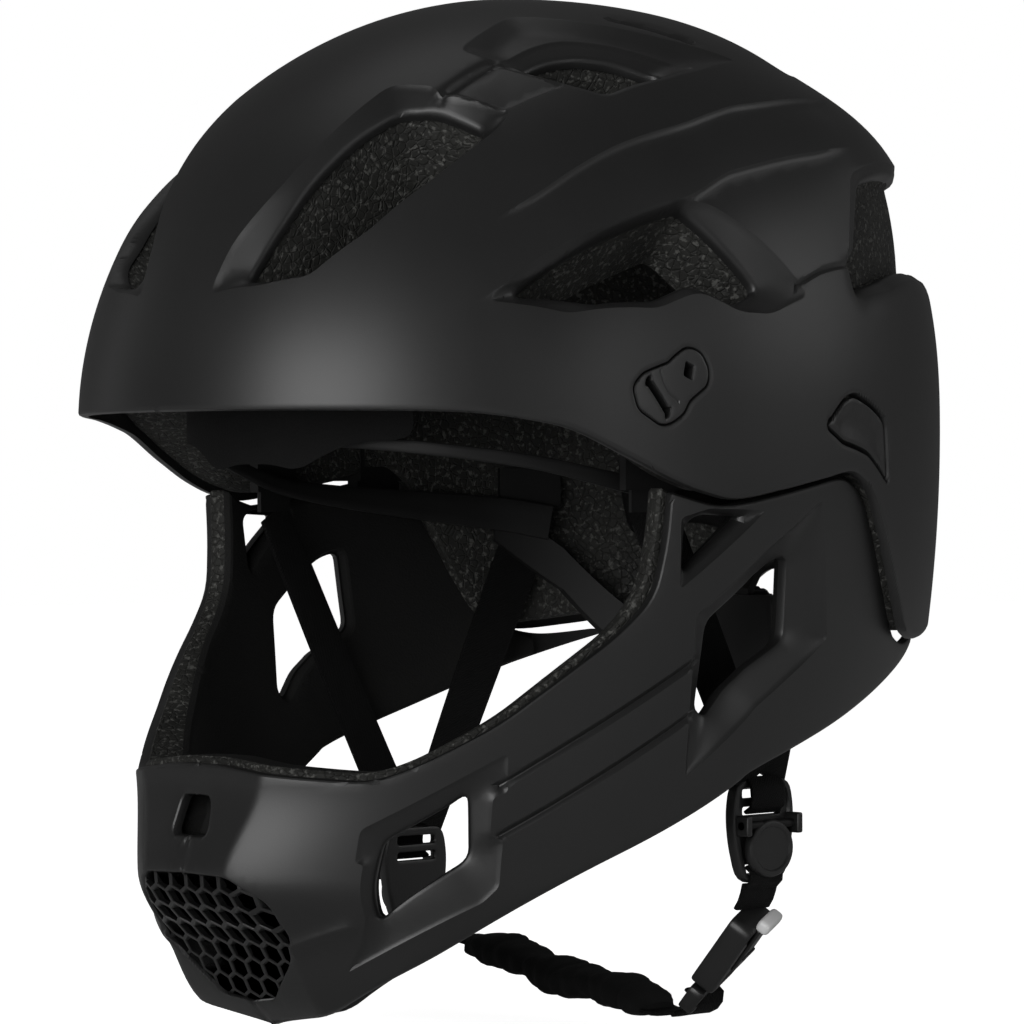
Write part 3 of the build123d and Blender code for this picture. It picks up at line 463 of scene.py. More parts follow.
# Distance in millimetres from points of a surface to a line on it, as far as a limit
def awayFrom(points, line, closed=True, limit=60.0):
    nearest = np.full(len(points), limit)
    low = line.min(0) - limit
    high = line.max(0) + limit
    close = np.where(((points > low) & (points < high)).all(1))[0]
    here = points[close]
    best = np.full(len(close), limit)
    ends = np.roll(line, -1, 0) if closed else line[1:]
    for a, b in zip(line, ends):
        ab = b - a
        t = np.clip(((here - a) @ ab) / max(ab @ ab, 1e-9), 0, 1)
        best = np.minimum(best, np.linalg.norm(here - a - t[:, None] * ab, axis=1))
    nearest[close] = best
    return nearest


# Points beside a line of the chart, at a true distance from it
def beside(placeOn, line, distance, closed=True):
    small = 0.05
    along = np.roll(line, -1, 0) - np.roll(line, 1, 0)
    if not closed:
        along[0] = line[1] - line[0]
        along[-1] = line[-1] - line[-2]
    here = placeOn(line)
    du = (placeOn(line + (small, 0)) - here) / small
    dv = (placeOn(line + (0, small)) - here) / small
    tangent = du * along[:, :1] + dv * along[:, 1:]
    out = np.cross(np.cross(du, dv), tangent)
    out /= np.maximum(np.linalg.norm(out, axis=1), 1e-9)[:, None]
    a = (du * du).sum(1)
    b = (du * dv).sum(1)
    c = (dv * dv).sum(1)
    p = (du * out).sum(1)
    q = (dv * out).sum(1)
    det = np.maximum(a * c - b * b, 1e-9)
    return line + distance * np.stack([(c * p - b * q) / det, (a * q - b * p) / det], -1)


def grownLoop(placeOn, loop, gap):
    for side in (1, -1):
        grown = beside(placeOn, loop, side * gap)
        if np.ptp(grown[:, 0]) > np.ptp(loop[:, 0]):
            return grown
    return loop


# Distance to the rim and to the nearest hole
def toEdges(placeOn, spots, rim, holes, closed=False):
    away = awayFrom(spots, placeOn(rim), closed)
    for hole in holes:
        away = np.minimum(away, awayFrom(spots, placeOn(hole)))
    return away


# How far a rounded edge falls away, at a distance from it
def roundedEdge(away, radius):
    near = np.clip(radius - away, 0, radius)
    return radius - np.sqrt(np.maximum(radius ** 2 - near ** 2, 0))


def nearestOf(spots):
    tree = kdtree.KDTree(len(spots))
    for i, spot in enumerate(spots):
        tree.insert(spot, i)
    tree.balance()
    return tree


def insideBorder(points, border, holes):
    keep = insideLoop(points, border)
    for hole in holes:
        keep &= ~insideLoop(points, hole)
    return keep


# The points that these faces use, and the faces numbered by them
def usedBy(count, faces):
    used = np.unique(faces)
    renumber = np.full(count, -1)
    renumber[used] = np.arange(len(used))
    return used, renumber[faces]


# Fills the border with triangles, less its holes, with rows of points beside each edge and line
def fillChart(placeOn, border, holes, lines, spacing, rows):
    runs = [(loop, True) for loop in (border, *holes)] + lines
    points = []
    edges = []
    for line, closed in runs:
        first = len(points)
        points += [tuple(p) for p in line]
        edges += [(first + i, first + i + 1) for i in range(len(line) - 1)]
        if closed:
            edges.append((len(points) - 1, first))
    fixed = list(placeOn(np.array(points)))
    drawn = nearestOf(fixed)
    beads = []
    for line, closed in runs:
        for distance in rows:
            for side in (-1, 1):
                ring = beside(placeOn, line, side * distance, closed)
                for chart, spot in zip(ring, placeOn(ring)):
                    if drawn.find(spot)[2] > 0.8 * distance:
                        beads.append((chart, spot))
    low = border.min(0)
    high = border.max(0)
    step = np.array([spacing, spacing * 0.866])
    columns, levels = ((high - low) / step).astype(int) + 1
    grid = np.array([
        (low[0] + (i + 0.5 * (j % 2)) * step[0], low[1] + j * step[1])
        for j in range(levels + 1) for i in range(columns + 1)
    ])
    taken = nearestOf(fixed + [spot for _, spot in beads])
    free = [chart for chart, spot in zip(grid, placeOn(grid)) if taken.find(spot)[2] > 0.5 * spacing]
    loose = np.array([chart for chart, _ in beads] + free).reshape(-1, 2)
    points += [tuple(p) for p in loose[insideBorder(loose, border, holes)]]
    filled = delaunay_2d_cdt([Vector(p) for p in points], edges, [], 0, 1e-5)
    chart = np.array([tuple(v) for v in filled[0]])
    faces = np.array(filled[2])
    used, faces = usedBy(len(chart), faces[insideBorder(chart[faces].mean(1), border, holes)])
    return chart[used], faces


def rideWith(obj, body, node=None):
    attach(obj, body)
    if node:
        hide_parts(node)


def selectOnly(*objs):
    if bpy.context.object and bpy.context.object.mode != "OBJECT":
        bpy.ops.object.mode_set(mode="OBJECT")
    bpy.ops.object.select_all(action="DESELECT")
    for obj in objs:
        obj.select_set(True)
    bpy.context.view_layer.objects.active = objs[0]


def addMesh(name, points, faces, finishes, body, node=None, smooth=25.0, uv=None):
    data = bpy.data.meshes.new(name)
    data.from_pydata([tuple(p) for p in np.array(points) * mm], [], [tuple(int(i) for i in f) for f in faces])
    for made in finishes:
        data.materials.append(made)
    obj = bpy.data.objects.new(name, data)
    bpy.context.scene.collection.objects.link(obj)
    if uv is not None:
        layer = data.uv_layers.new(name="UVMap")
        layer.data.foreach_set("uv", np.array([uv[loop.vertex_index] for loop in data.loops], float).ravel())
    selectOnly(obj)
    bpy.ops.object.shade_smooth_by_angle(angle=math.radians(smooth))
    rideWith(obj, body, node)
    return obj


def mergeDoubles(distance):
    bpy.ops.object.mode_set(mode="EDIT")
    bpy.ops.mesh.select_all(action="SELECT")
    bpy.ops.mesh.remove_doubles(threshold=distance)
    bpy.ops.object.mode_set(mode="OBJECT")


def turnOutwards():
    bpy.ops.object.mode_set(mode="EDIT")
    bpy.ops.mesh.select_all(action="SELECT")
    bpy.ops.mesh.normals_make_consistent(inside=False)
    bpy.ops.object.mode_set(mode="OBJECT")


# A walled piece between an outer and an inner skin: one mesh across the middle, or one for each side
def wallPiece(name, faces, outer, inner, finishes, body, node=None, mirrored=True, sides=(1,), smooth=25.0):
    count = len(outer)
    a, b, c = faces.T
    edges = np.concatenate([np.stack(pair, 1) for pair in ((a, b), (b, c), (c, a))])
    seen = dict.fromkeys((i, j) for i, j in edges)
    onMiddle = mirrored & (np.abs(outer[:, 0]) < 0.02)
    polys = [(i, j, k) for i, j, k in faces]
    polys += [(k + count, j + count, i + count) for i, j, k in faces]
    for i, j in seen:
        if (j, i) not in seen and not (onMiddle[i] and onMiddle[j]):
            polys.append((j, i, i + count, j + count))
    if (np.cross(outer[b] - outer[a], outer[c] - outer[a]) * (outer[a] - inner[a])).sum() < 0:
        polys = [p[::-1] for p in polys]
    turned = [p[::-1] for p in polys]
    points = np.concatenate([outer, inner])
    if mirrored:
        points = np.concatenate([points, points * (-1, 1, 1)])
        polys += [tuple(i + 2 * count for i in p) for p in turned]
        made = addMesh(name, points, polys, finishes, body, node, smooth)
        mergeDoubles(0.00002)
        return [made]
    pieces = []
    for side in sides:
        ending = "" if len(sides) == 1 else "_left" if side > 0 else "_right"
        pieces.append(addMesh(
            name + ending, points * (side, 1, 1), polys if side > 0 else turned, finishes, body,
            node and node + ending, smooth))
    return pieces


def closeMiddle(onMiddle, *skins):
    for skin in skins:
        skin[onMiddle, 0] = 0


# Outer shell
shell = {
    "wall": 2.4,
    "edge": 1.1,
    "spacing": 2.5,
    # y and z of the lower edge, seen from the side
    "rim": [
        (-143, 2.7), (-101, 1.9), (-75, -1.7), (-54, -10.6), (-40, -17.0), (-29.6, -20.4), (-18, -22.5),
        (1.8, -20), (20, -17.0), (34, -15), (45, -19.5), (56, -34.4), (68, -52), (77.5, -62), (89, -64.5),
        (104, -63), (120, -60.5), (149, -58),
    ],
    # the lower edge rises at the nape: from this y, half as wide as this, softened over this
    "notchFrom": 100,
    "notchHalf": 40.0,
    "notchSoft": 18.0,
    "notchRise": 13.0,
    "toBrow": 165,   # mm from the crown to the brow, along the shell
    "bevel": {"ease": 0.8, "reach": 1.0, "lip": 0.25, "steepest": 1.6},
    "foldEnds": (9, 12),   # degrees
    "foldEdge": 1.1,
    "innerStep": 0.4,
}
# Vents: turn round the shell in degrees, share of the way from crown to brow
vents = {
    "front": {
        "hole": [
            (-77.5, .79), (-75.6, .74), (-73.4, .685), (-70.6, .62), (-65.3, .542), (-59.5, .494),
            (-52.3, .494), (-41.1, .538), (-44.9, .584), (-50.2, .633), (-58.7, .714), (-63, .754),
            (-66.3, .779), (-71.4, .79),
        ],
        "recess": [
            (-82.4, .812), (-80.7, .738), (-75.2, .646), (-69.9, .553), (-62.6, .454), (-53, .458),
            (-50.9, .478), (-36.8, .512), (-39.9, .552), (-44.1, .59), (-49.4, .64), (-58, .722),
            (-66.0, .79), (-73.7, .802),
        ],
        "depth": 4.2,
    },
    "top": {
        "hole": [
            (-35.2, .402), (-28, .366), (-20, .352), (-10.5, .368), (-1.8, .422), (-10.3, .447),
            (-18.3, .475), (-26.2, .443),
        ],
        "recess": [
            (-41.0, .395), (-30.1, .33), (-22.3, .312), (-9.6, .33), (5.5, .415), (-4.5, .445),
            (-10.5, .456), (-18.5, .486), (-26.6, .453),
        ],
        "depth": 2.2,
    },
    "side": {
        "hole": [
            (-36.8, .815), (-32.6, .783), (-26.4, .747), (-20.4, .722), (-9.9, .69), (-4.8, .755),
            (-.2, .828), (-4.8, .847), (-11.3, .812), (-16.9, .834), (-25.8, .833),
        ],
        "recess": [
            (-40.4, .826), (-34.6, .772), (-24.4, .726), (-9.7, .681), (-6.0, .692), (-1.6, .734),
            (6.0, .842), (-.4, .866), (-5.0, .861), (-10.9, .829), (-17.2, .85), (-29.4, .85),
        ],
        "depth": 4.2,
    },
    "rear": {
        "hole": [
            (25.0, .668), (41, .658), (57, .660), (71, .668), (72, .79), (59.5, .80), (45, .812),
            (26, .818), (17.4, .835), (17.3, .797),
        ],
        "recess": [
            (23.2, .65), (41, .642), (57, .644), (73.5, .652), (74, .81), (60, .818), (46, .832),
            (26, .838), (15.6, .852), (15.6, .79),
        ],
        "depth": 1.6,
    },
    "crown": {
        "hole": [(48, .2), (66, .28), (62, .42), (42, .4)],
        "recess": [(40, .15), (72, .235), (68, .46), (36, .425)],
        "depth": 4.0,
    },
    "nape": {
        "hole": [(77, .672), (87, .672), (86.5, .79), (77.5, .79)],
        "recess": [(75.5, .655), (88.6, .655), (88.4, .81), (76, .81)],
        "depth": 1.6,
    },
}
# The rear swells out to a lip over these two vents, and the foam stands upright below it
rear = {
    "vents": ("rear", "nape"), "swell": 4.2, "turns": (5, 35), "shares": (0.38, 0.62),
    "lip": 0.64, "foot": 0.82, "deep": 9.0, "shoulder": 3.2, "shoulderWidth": 9.0, "under": 5.2,
    "shoulderFrom": (10, 0.78),
}
# Long soft edges of the shell: the panel above stands a little proud of the one below
shellFolds = [
    {
        "marks": [
            (-42.8, .835), (-39.5, .812), (-33.2, .783), (-26.8, .745), (-19.5, .71), (-9.2, .677),
            (-.2, .635), (14, .61), (28.2, .605),
        ],
        "drop": 1.7, "fade": 13.0,
    },
    {
        "marks": [
            (-41, .712), (-32.8, .662), (-26.2, .62), (-18.5, .583), (-5.5, .545), (7.2, .507),
            (25.5, .495), (40, .495),
        ],
        "drop": 1.6, "fade": 16.0,
    },
]
# Lowered facets round the top vent and between it and the front vent
shellSteps = [
    {
        "loop": [
            (-50.5, .363), (-37.2, .24), (-11.8, .27), (4.2, .323), (19.5, .39), (5.5, .422), (-4.5, .45),
            (-18.5, .492), (-26.6, .462), (-41, .40),
        ],
        "depth": 2.4, "reach": 7.5,
    },
    {
        "loop": [(-51.5, .468), (-42.8, .398), (-38.2, .39), (-25.2, .463), (-38.0, .515)],
        "depth": 1.2, "reach": 1.6,
    },
]
shellGrooves = [
    {"line": [(0, .25), (7, .285), (12.7, .33)], "depth": 2.4, "width": 1.5},
    {"line": [(4.5, .825), (9, .806), (16.5, .797)], "depth": 0.9, "width": 0.7},
    {"line": [(-50.9, .478), (-45.5, .425), (-41, .395)], "depth": 1.3, "width": 1.6},
]


def rimLevel(y):
    keys, levels = zip(*shell["rim"])
    return smoothRun(keys, levels, np.array(y))


def shellRim():
    marks = []
    for turn in np.linspace(90, -90, 181):
        x, y, _ = bowlPoint("shell", np.array(turn), np.array(1.0))
        level = float(rimLevel(y))
        if y > shell["notchFrom"]:
            level += shell["notchRise"] * smoothStep(shell["notchHalf"] - abs(x), 0, shell["notchSoft"])
        share = 1 - level / bowlShape["drop"]
        if level > 0:
            height = min((level / bowls["shell"]["height"]) ** (bowlShape["frontPower"] / 2), 1)
            share = math.acos(height) / (math.pi / 2)
        marks.append((turn, share))
    return marks


def halfBorder(rimMarks, spacing=1.3):
    rim = bowlChart(rimMarks)
    rim[[0, -1], 0] = 0
    return divided([*rim, np.array([0.0, 0.0])], spacing, True)


def ventLoop(vent, edge, spacing=1.5):
    return roundedLoop(bowlChart(vent[edge]), 3, spacing)


def foldDepth(turn, share):
    depth = 0 * share
    first, last = shell["foldEnds"]
    for fold in shellFolds:
        turns, shares = zip(*fold["marks"])
        below = np.maximum(share - smoothRun(turns, shares, turn), 0) * shell["toBrow"]
        starts = smoothStep(turn, turns[0], turns[0] + first)
        ends = starts * (1 - smoothStep(turn, turns[-1] - last, turns[-1]))
        edge = 1 - np.exp(-below / shell["foldEdge"])
        depth += fold["drop"] * np.exp(-below / fold["fade"]) * edge * ends
    return depth


def foldLine(fold):
    turns, shares = zip(*fold["marks"])
    at = np.linspace(turns[0], turns[-1], 90)
    return divided(bowlChart(np.stack([at, smoothRun(turns, shares, at)], -1)), 2.0, False)


def rearSwell(turn, share):
    grown = smoothStep(turn, *rear["turns"]) * smoothStep(share, *rear["shares"])
    return rear["swell"] * grown * (1 - np.clip((share - rear["lip"]) / (rear["foot"] - rear["lip"]), 0, 1))


def grooveDepth(groove, spots, placeOn, line):
    away = awayFrom(spots, placeOn(line), False)
    return groove["depth"] * np.exp(-(away / groove["width"]) ** 2)


# The bevel between the outline of a recess and its hole
def bevelDepth(chart, spots, placeOn, recess, hole, depth, shape):
    toRecess = awayFrom(spots, placeOn(recess))
    toHole = awayFrom(spots, placeOn(hole))
    share = np.minimum(toRecess / (toRecess + toHole + shape["ease"]) * shape["reach"], 1)
    bevel = np.minimum(depth * share + shape["lip"] * np.minimum(toRecess, 1), toRecess * shape["steepest"])
    return np.where(insideLoop(chart, recess), bevel, 0)


# How far the shell's face lies inside the plain bowl
def shellDepth(chart, spots):
    depth = np.zeros(len(chart))
    for vent in vents.values():
        recess, hole = (ventLoop(vent, edge) for edge in ("recess", "hole"))
        bevel = bevelDepth(chart, spots, shellPlace, recess, hole, vent["depth"], shell["bevel"])
        depth = np.maximum(depth, bevel)
    for step in shellSteps:
        loop = roundedLoop(bowlChart(step["loop"]), 3, 1.5)
        away = awayFrom(spots, shellPlace(loop))
        depth += np.where(insideLoop(chart, loop), step["depth"] * np.clip(away / step["reach"], 0, 1), 0)
    for groove in shellGrooves:
        depth += grooveDepth(groove, spots, shellPlace, divided(bowlChart(groove["line"]), 1.5, False))
    turn, share = fromBowlChart(chart)
    low = np.full(len(chart), 60.0)
    for name in rear["vents"]:
        low = np.minimum(low, awayFrom(spots, shellPlace(ventLoop(vents[name], "hole"))))
    fromTurn, fromShare = rear["shoulderFrom"]
    behind = (share > fromShare) & (turn > fromTurn)
    shoulder = np.where(behind, np.clip(1 - low / rear["shoulderWidth"], 0, 1), 0)
    return depth + foldDepth(turn, share) + rear["shoulder"] * shoulder ** 2 - rearSwell(turn, share)


# Inset plates that a visor clips on: a keyhole, a small diamond and a scored arc
anchor = {
    "marks": [
        (-13.8, .908), (-15.5, .92), (-16.2, .927), (-19.8, .94), (-21.2, .958), (-20.5, .988),
        (-17.5, 1.022), (-16.2, 1.018), (-14.2, .993), (-13.5, .978), (-10.8, .958), (-10.5, .938),
        (-11.5, .915), (-12.8, .908),
    ],
    "gap": 0.22, "inset": 0.15, "wall": 5.0, "edge": 0.5,
    "slot": [(-18.8, .955), (-16.8, .988)], "slotRadius": 1.8, "slotNeck": 0.5,
    "diamond": (-13.4, .938), "diamondRadius": 2.1, "diamondTurn": 0.2,
    "arc": [(-17.4, .938), (-16.9, .955), (-16.2, .968), (-15, .979)], "arcWidth": 0.35,
}
# Release buttons of the chin guard, with a stem and a hook behind each
button = {
    "marks": [(7.8, 1.02), (11.4, .98), (13, .976), (20, 1.005), (20.9, 1.215), (16.2, 1.114), (10.9, 1.075)],
    "gap": 1.0, "inset": 0.5, "edge": 0.8, "back": 3.5, "dish": 0.7, "dishFrom": 2.2,
    # lowest and highest corners on the left side, in mm
    "blocks": [((87.0, 38.3, -3.0), (101.2, 41.3, 3.0)), ((87.0, 33.3, -3.0), (88.6, 41.3, 3.0))],
}


def makeShell():
    border = halfBorder(shellRim())
    holes = [ventLoop(vent, "hole", 1.6) for vent in vents.values()]
    holes.append(grownLoop(shellPlace, roundedLoop(bowlChart(anchor["marks"]), 1.6, 1.0), anchor["gap"]))
    holes.append(grownLoop(shellPlace, roundedLoop(bowlChart(button["marks"]), 1.8, 1.4), button["gap"]))
    lines = [(divided(bowlChart(groove["line"]), 1.2, False), False) for groove in shellGrooves]
    lines += [(ventLoop(vent, "recess", 1.6), True) for vent in vents.values()]
    lines += [(foldLine(fold), False) for fold in shellFolds]
    lines += [(roundedLoop(bowlChart(step["loop"]), 3, 1.8), True) for step in shellSteps]
    chart, faces = fillChart(shellPlace, border, holes, lines, shell["spacing"], (0.4, 1.0, 1.9))
    chart[np.abs(chart[:, 0]) < 1e-4, 0] = 0
    spots = shellPlace(chart)
    face = shellDepth(chart, spots)
    rim = border[np.abs(border[:, 0]) > 1e-3]
    depth = face + roundedEdge(toEdges(shellPlace, spots, rim, holes), shell["edge"])
    outer = shellPlace(chart, depth)
    inner = shellPlace(chart, np.minimum(depth, face + shell["innerStep"]) + shell["wall"])
    closeMiddle(chart[:, 0] == 0, outer, inner)
    made, = wallPiece("outer_shell", faces, outer, inner, [matteShell], "helmet", "outer_shell", smooth=33.0)


def makeAnchors():
    border = roundedLoop(bowlChart(anchor["marks"]), 1.6, 0.9)
    ends = bowlChart(anchor["slot"])
    along = (ends[1] - ends[0]) / np.linalg.norm(ends[1] - ends[0])
    across = np.array([-along[1], along[0]])
    keyhole = []
    for angle in np.linspace(0, 2 * math.pi, 28, endpoint=False):
        c, s = math.cos(angle), math.sin(angle)
        reach = anchor["slotRadius"] * (c * along + s * across)
        keyhole.append(ends[0 if c < 0 else 1] + reach * (1 if abs(c) > 0.45 else anchor["slotNeck"]))
    spot = bowlChart([anchor["diamond"]])[0]
    diamond = [
        spot + anchor["diamondRadius"] * np.array([math.cos(a), math.sin(a)])
        for a in np.linspace(0, 2 * math.pi, 5)[:4] + anchor["diamondTurn"]]
    holes = [divided(keyhole, 0.5, True), roundedLoop(diamond, 0.4, 0.5)]
    arc = divided(bowlChart(anchor["arc"]), 0.6, False)
    chart, faces = fillChart(shellPlace, border, holes, [(arc, False)], 0.9, (0.25, 0.6))
    spots = shellPlace(chart)
    away = toEdges(shellPlace, spots, border, holes, True)
    scored = grooveDepth({"depth": anchor["arcWidth"], "width": anchor["arcWidth"]}, spots, shellPlace, arc)
    outer = shellPlace(chart, anchor["inset"] + roundedEdge(away, anchor["edge"]) + scored)
    inner = shellPlace(chart, anchor["inset"] + anchor["wall"])
    for made in wallPiece(
            "visor_anchor", faces, outer, inner, [anchorPlastic], "helmet", "visor_anchor", False, (1, -1)):
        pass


def block(low, high, bevel, finished, matrix=None):
    bpy.ops.object.select_all(action="DESELECT")
    bpy.ops.mesh.primitive_cube_add(size=1, location=[(a + b) / 2 * mm for a, b in zip(low, high)])
    made = bpy.context.object
    made.scale = [(b - a) * mm for a, b in zip(low, high)]
    bpy.ops.object.transform_apply(location=True, rotation=True, scale=True)
    soft = made.modifiers.new("soft edges", "BEVEL")
    soft.width = bevel * mm
    soft.segments = 3
    bpy.ops.object.modifier_apply(modifier=soft.name)
    made.data.materials.append(finished)
    if matrix is not None:
        made.data.transform(matrix)
    return made


def joinTo(main, *others):
    selectOnly(main, *others)
    bpy.ops.object.join()
    bpy.ops.object.shade_smooth_by_angle(angle=math.radians(30))


def makeButtons():
    border = roundedLoop(bowlChart(button["marks"]), 1.8, 1.2)
    chart, faces = fillChart(shellPlace, border, [], [], 1.6, (0.3, 0.8, 1.6))
    away = awayFrom(shellPlace(chart), shellPlace(border))
    dish = np.clip((away - button["dishFrom"]) / 1.0, 0, 1) * button["dish"]
    outer = shellPlace(chart, button["inset"] + roundedEdge(away, button["edge"]) + dish)
    inner = shellPlace(chart, button["back"])
    for side, label in ((1, "left"), (-1, "right")):
        name = "release_button_" + label
        made, = wallPiece(name, faces, outer, inner, [matteShell], "button_" + label, name, False, (side,))
        stems = []
        for low, high in button["blocks"]:
            x = sorted((low[0] * side, high[0] * side))
            stems.append(block((x[0], *low[1:]), (x[1], *high[1:]), 0.4, matteShell))
        joinTo(made, *stems)


makeShell()
print("outer shell made")
makeAnchors()
makeButtons()
print("anchors and buttons made")


# Chin guard
guard = {
    "wall": 3.0,
    "edge": 1.3,
    "spacing": 2.3,
    "seam": 1.5,
    # turn round the guard in degrees, level in mm: the face opening from the middle out to the temple
    "opening": [
        (-90, -95.3), (-82, -95.3), (-70, -97.5), (-61, -98.8), (-55.5, -99.4), (-50.3, -96), (-45.2, -91),
        (-38.9, -84), (-31.3, -72), (-23.4, -59.8), (-18.6, -49.7), (-17.1, -33.6), (-16.8, -20.2),
    ],
    # y and z of the lower edge, seen from the side
    "lower": [
        (107.5, -65.5), (94, -70), (76.7, -75.7), (41.9, -87.6), (2.8, -99.4), (-46.7, -124),
        (-85.3, -149.5), (-99.6, -166),
    ],
    "bottom": -170.5,
    "bevel": {"ease": 0.6, "reach": 1.15, "lip": 0.3, "steepest": 1.5},
    "seamRun": (-33, 104, 46),   # y of its ends, and how many marks
    "corner": 7.0,
    "cornerUp": 3.0,
    # mm that the middle openings grow for each mm of lift
    "liftOut": 14,
    "liftUp": 4,
    # x and z of the two middle openings, from the top down
    "noseVent": [(0, -104.0), (5.6, -104.2), (7.2, -115.0), (0, -115.2)],
    "grilleOpening": [
        (0, -125.5), (17, -126), (26, -133), (27, -144), (22.5, -150.5), (10.6, -161.4), (0, -163),
    ],
}
windows = {
    "side": {
        "hole": [
            (6.1, -38.8), (3.1, -40.4), (-8.6, -56.8), (-9.9, -81), (-8.1, -83.6), (-4.4, -75.4),
            (6.7, -62.7),
        ],
        "recess": [(9.6, -22.7), (12.8, -63.2), (-12.9, -100.5), (-12.2, -54.7)],
        "depth": 4.6,
    },
    "temple": {
        "hole": [(-11.3, -26.5), (-4.3, -27.2), (-14.1, -42.9), (-13.7, -29)],
        "recess": [(-10.8, -24.9), (-0.8, -25.6), (-14.9, -47.5), (-15.2, -27.4)],
        "depth": 2.6,
    },
    "chin": {
        "hole": [
            (-42.6, -103), (-41.3, -121.4), (-53.5, -138.3), (-52.6, -116.2), (-50.5, -113.5),
            (-45, -106.8),
        ],
        "recess": [
            (-55.8, -112.6), (-37.7, -91.9), (-37.5, -103), (-39.4, -104), (-39.2, -115.1), (-37.5, -116.1),
            (-37.4, -129.2), (-39.6, -133.5), (-60.1, -153), (-56.6, -144), (-54.9, -137.5),
            (-54.5, -122.3), (-55.6, -121.7),
        ],
        "depth": 3.0,
    },
}
guardGrooves = [
    {"line": [(-38.6, -101), (-11.5, -67.1)], "depth": 1.3, "width": 0.9},
    {"line": [(-38, -114.9), (-11.6, -82)], "depth": 1.3, "width": 0.9},
    {"line": [(-69, -146.5), (-57.5, -139.9)], "depth": -1.1, "width": 2.0},
]


# The border of half the guard; lift moves it in from every edge
def guardBorder(lift=0.0, proud=0.0):
    opening = np.array(guard["opening"], float)
    opening[:, 1] += proud - lift
    opening[-3:, 0] += (lift - proud) * 0.5
    top = []
    for y in np.linspace(*guard["seamRun"]):
        level = rimLevel(y) - guard["seam"] - lift
        top.append((float(guardTurn(np.array(y), level)), float(level)))
    low = [(float(guardTurn(np.array(y), np.array(z + lift))), z + lift) for y, z in guard["lower"]]
    chart = guardChart([*opening, *top, *low, (-90, guard["bottom"] + lift)])
    chart[[0, -1], 0] = guardMiddle
    path = list(roundedPath(chart, guard["corner"], 1.8))
    for name in ("grilleOpening",) if lift else ("grilleOpening", "noseVent"):
        half = [(float(guardTurnAcross(np.array(x), np.array(z))), z) for x, z in guard[name][::-1]]
        half = guardChart(half)
        half[1:-1, 0] += guard["liftOut"] * lift
        half[:, 1] += np.sign(half[:, 1] - half[:, 1].mean()) * guard["liftUp"] * lift
        half[[0, -1], 0] = guardMiddle
        path += list(roundedPath(half, guard["cornerUp"], 1.4))
    return divided(path, 1.8, True)


def windowLoop(window, edge, spacing=1.2):
    return roundedLoop(guardChart(window[edge]), 1.6 if edge == "recess" else 3, spacing)


def guardDepth(chart, spots):
    depth = np.zeros(len(chart))
    for window in windows.values():
        recess, hole = (windowLoop(window, edge) for edge in ("recess", "hole"))
        bevel = bevelDepth(chart, spots, guardPlace, recess, hole, window["depth"], guard["bevel"])
        depth = np.maximum(depth, bevel)
    for groove in guardGrooves:
        depth += grooveDepth(groove, spots, guardPlace, divided(guardChart(groove["line"]), 1.5, False))
    return depth


def guardRim(border):
    return border[np.abs(border[:, 0] - guardMiddle) > 1e-3]


def makeGuard():
    border = guardBorder()
    holes = [windowLoop(window, "hole", 1.5) for window in windows.values()]
    lines = [(windowLoop(window, "recess", 1.5), True) for window in windows.values()]
    lines += [(divided(guardChart(groove["line"]), 1.2, False), False) for groove in guardGrooves]
    chart, faces = fillChart(guardPlace, border, holes, lines, guard["spacing"], (0.35, 0.8, 1.5))
    spots = guardPlace(chart)
    depth = guardDepth(chart, spots)
    edge = toEdges(guardPlace, spots, guardRim(border), holes)
    outer = guardPlace(chart, depth + roundedEdge(edge, guard["edge"]))
    inner = guardPlace(chart, depth + guard["wall"])
    closeMiddle(np.abs(chart[:, 0] - guardMiddle) < 1e-3, outer, inner)
    made, = wallPiece("chin_guard", faces, outer, inner, [matteGuard], "chin_guard", "chin_guard")


makeGuard()
print("chin guard made")


# Honeycomb at the chin
grille = {
    "pitch": 6.6, "web": 1.25, "inset": 1.3, "thick": 2.6, "chamfer": 0.35, "middle": (0, -143.0),
    # cells reach this much past the opening; each is squashed upright; rows each way from the middle
    "grow": 3.4 / 22, "squash": 0.9, "rows": 7, "bevel": 0.25,
}


# One cell: rings of six points, from the front rim of its web round to the rear
def grilleCell(u, v):
    radius = grille["pitch"] / math.sqrt(3)
    hollow = radius - grille["web"] / 2 / math.cos(math.pi / 6)
    sizes = (radius, hollow + grille["bevel"], hollow, hollow, radius)
    deeps = (0, 0, grille["chamfer"], grille["thick"], grille["thick"])
    cell = []
    for size, deep in zip(sizes, deeps):
        for k in range(6):
            angle = math.pi / 6 + k * math.pi / 3
            x = u + size * math.cos(angle)
            z = v + size * math.sin(angle) * grille["squash"]
            turn = guardTurnAcross(np.array(abs(x)), np.array(z))
            spot = guardPoint(turn, np.array(z), grille["inset"] + deep)
            cell.append((x, spot[1], z))
    return cell


# Faces of a tube of rings of points, closed at both ends where it is capped
def ringFaces(rings, around, first=0, capped=False):
    faces = []
    for k in range(rings - 1):
        for j in range(around):
            a = first + k * around + j
            b = first + k * around + (j + 1) % around
            faces.append((a, b, b + around, a + around))
    if capped:
        last = (rings - 1) * around
        faces += [tuple(range(around))[::-1], tuple(range(last, last + around))]
    return faces


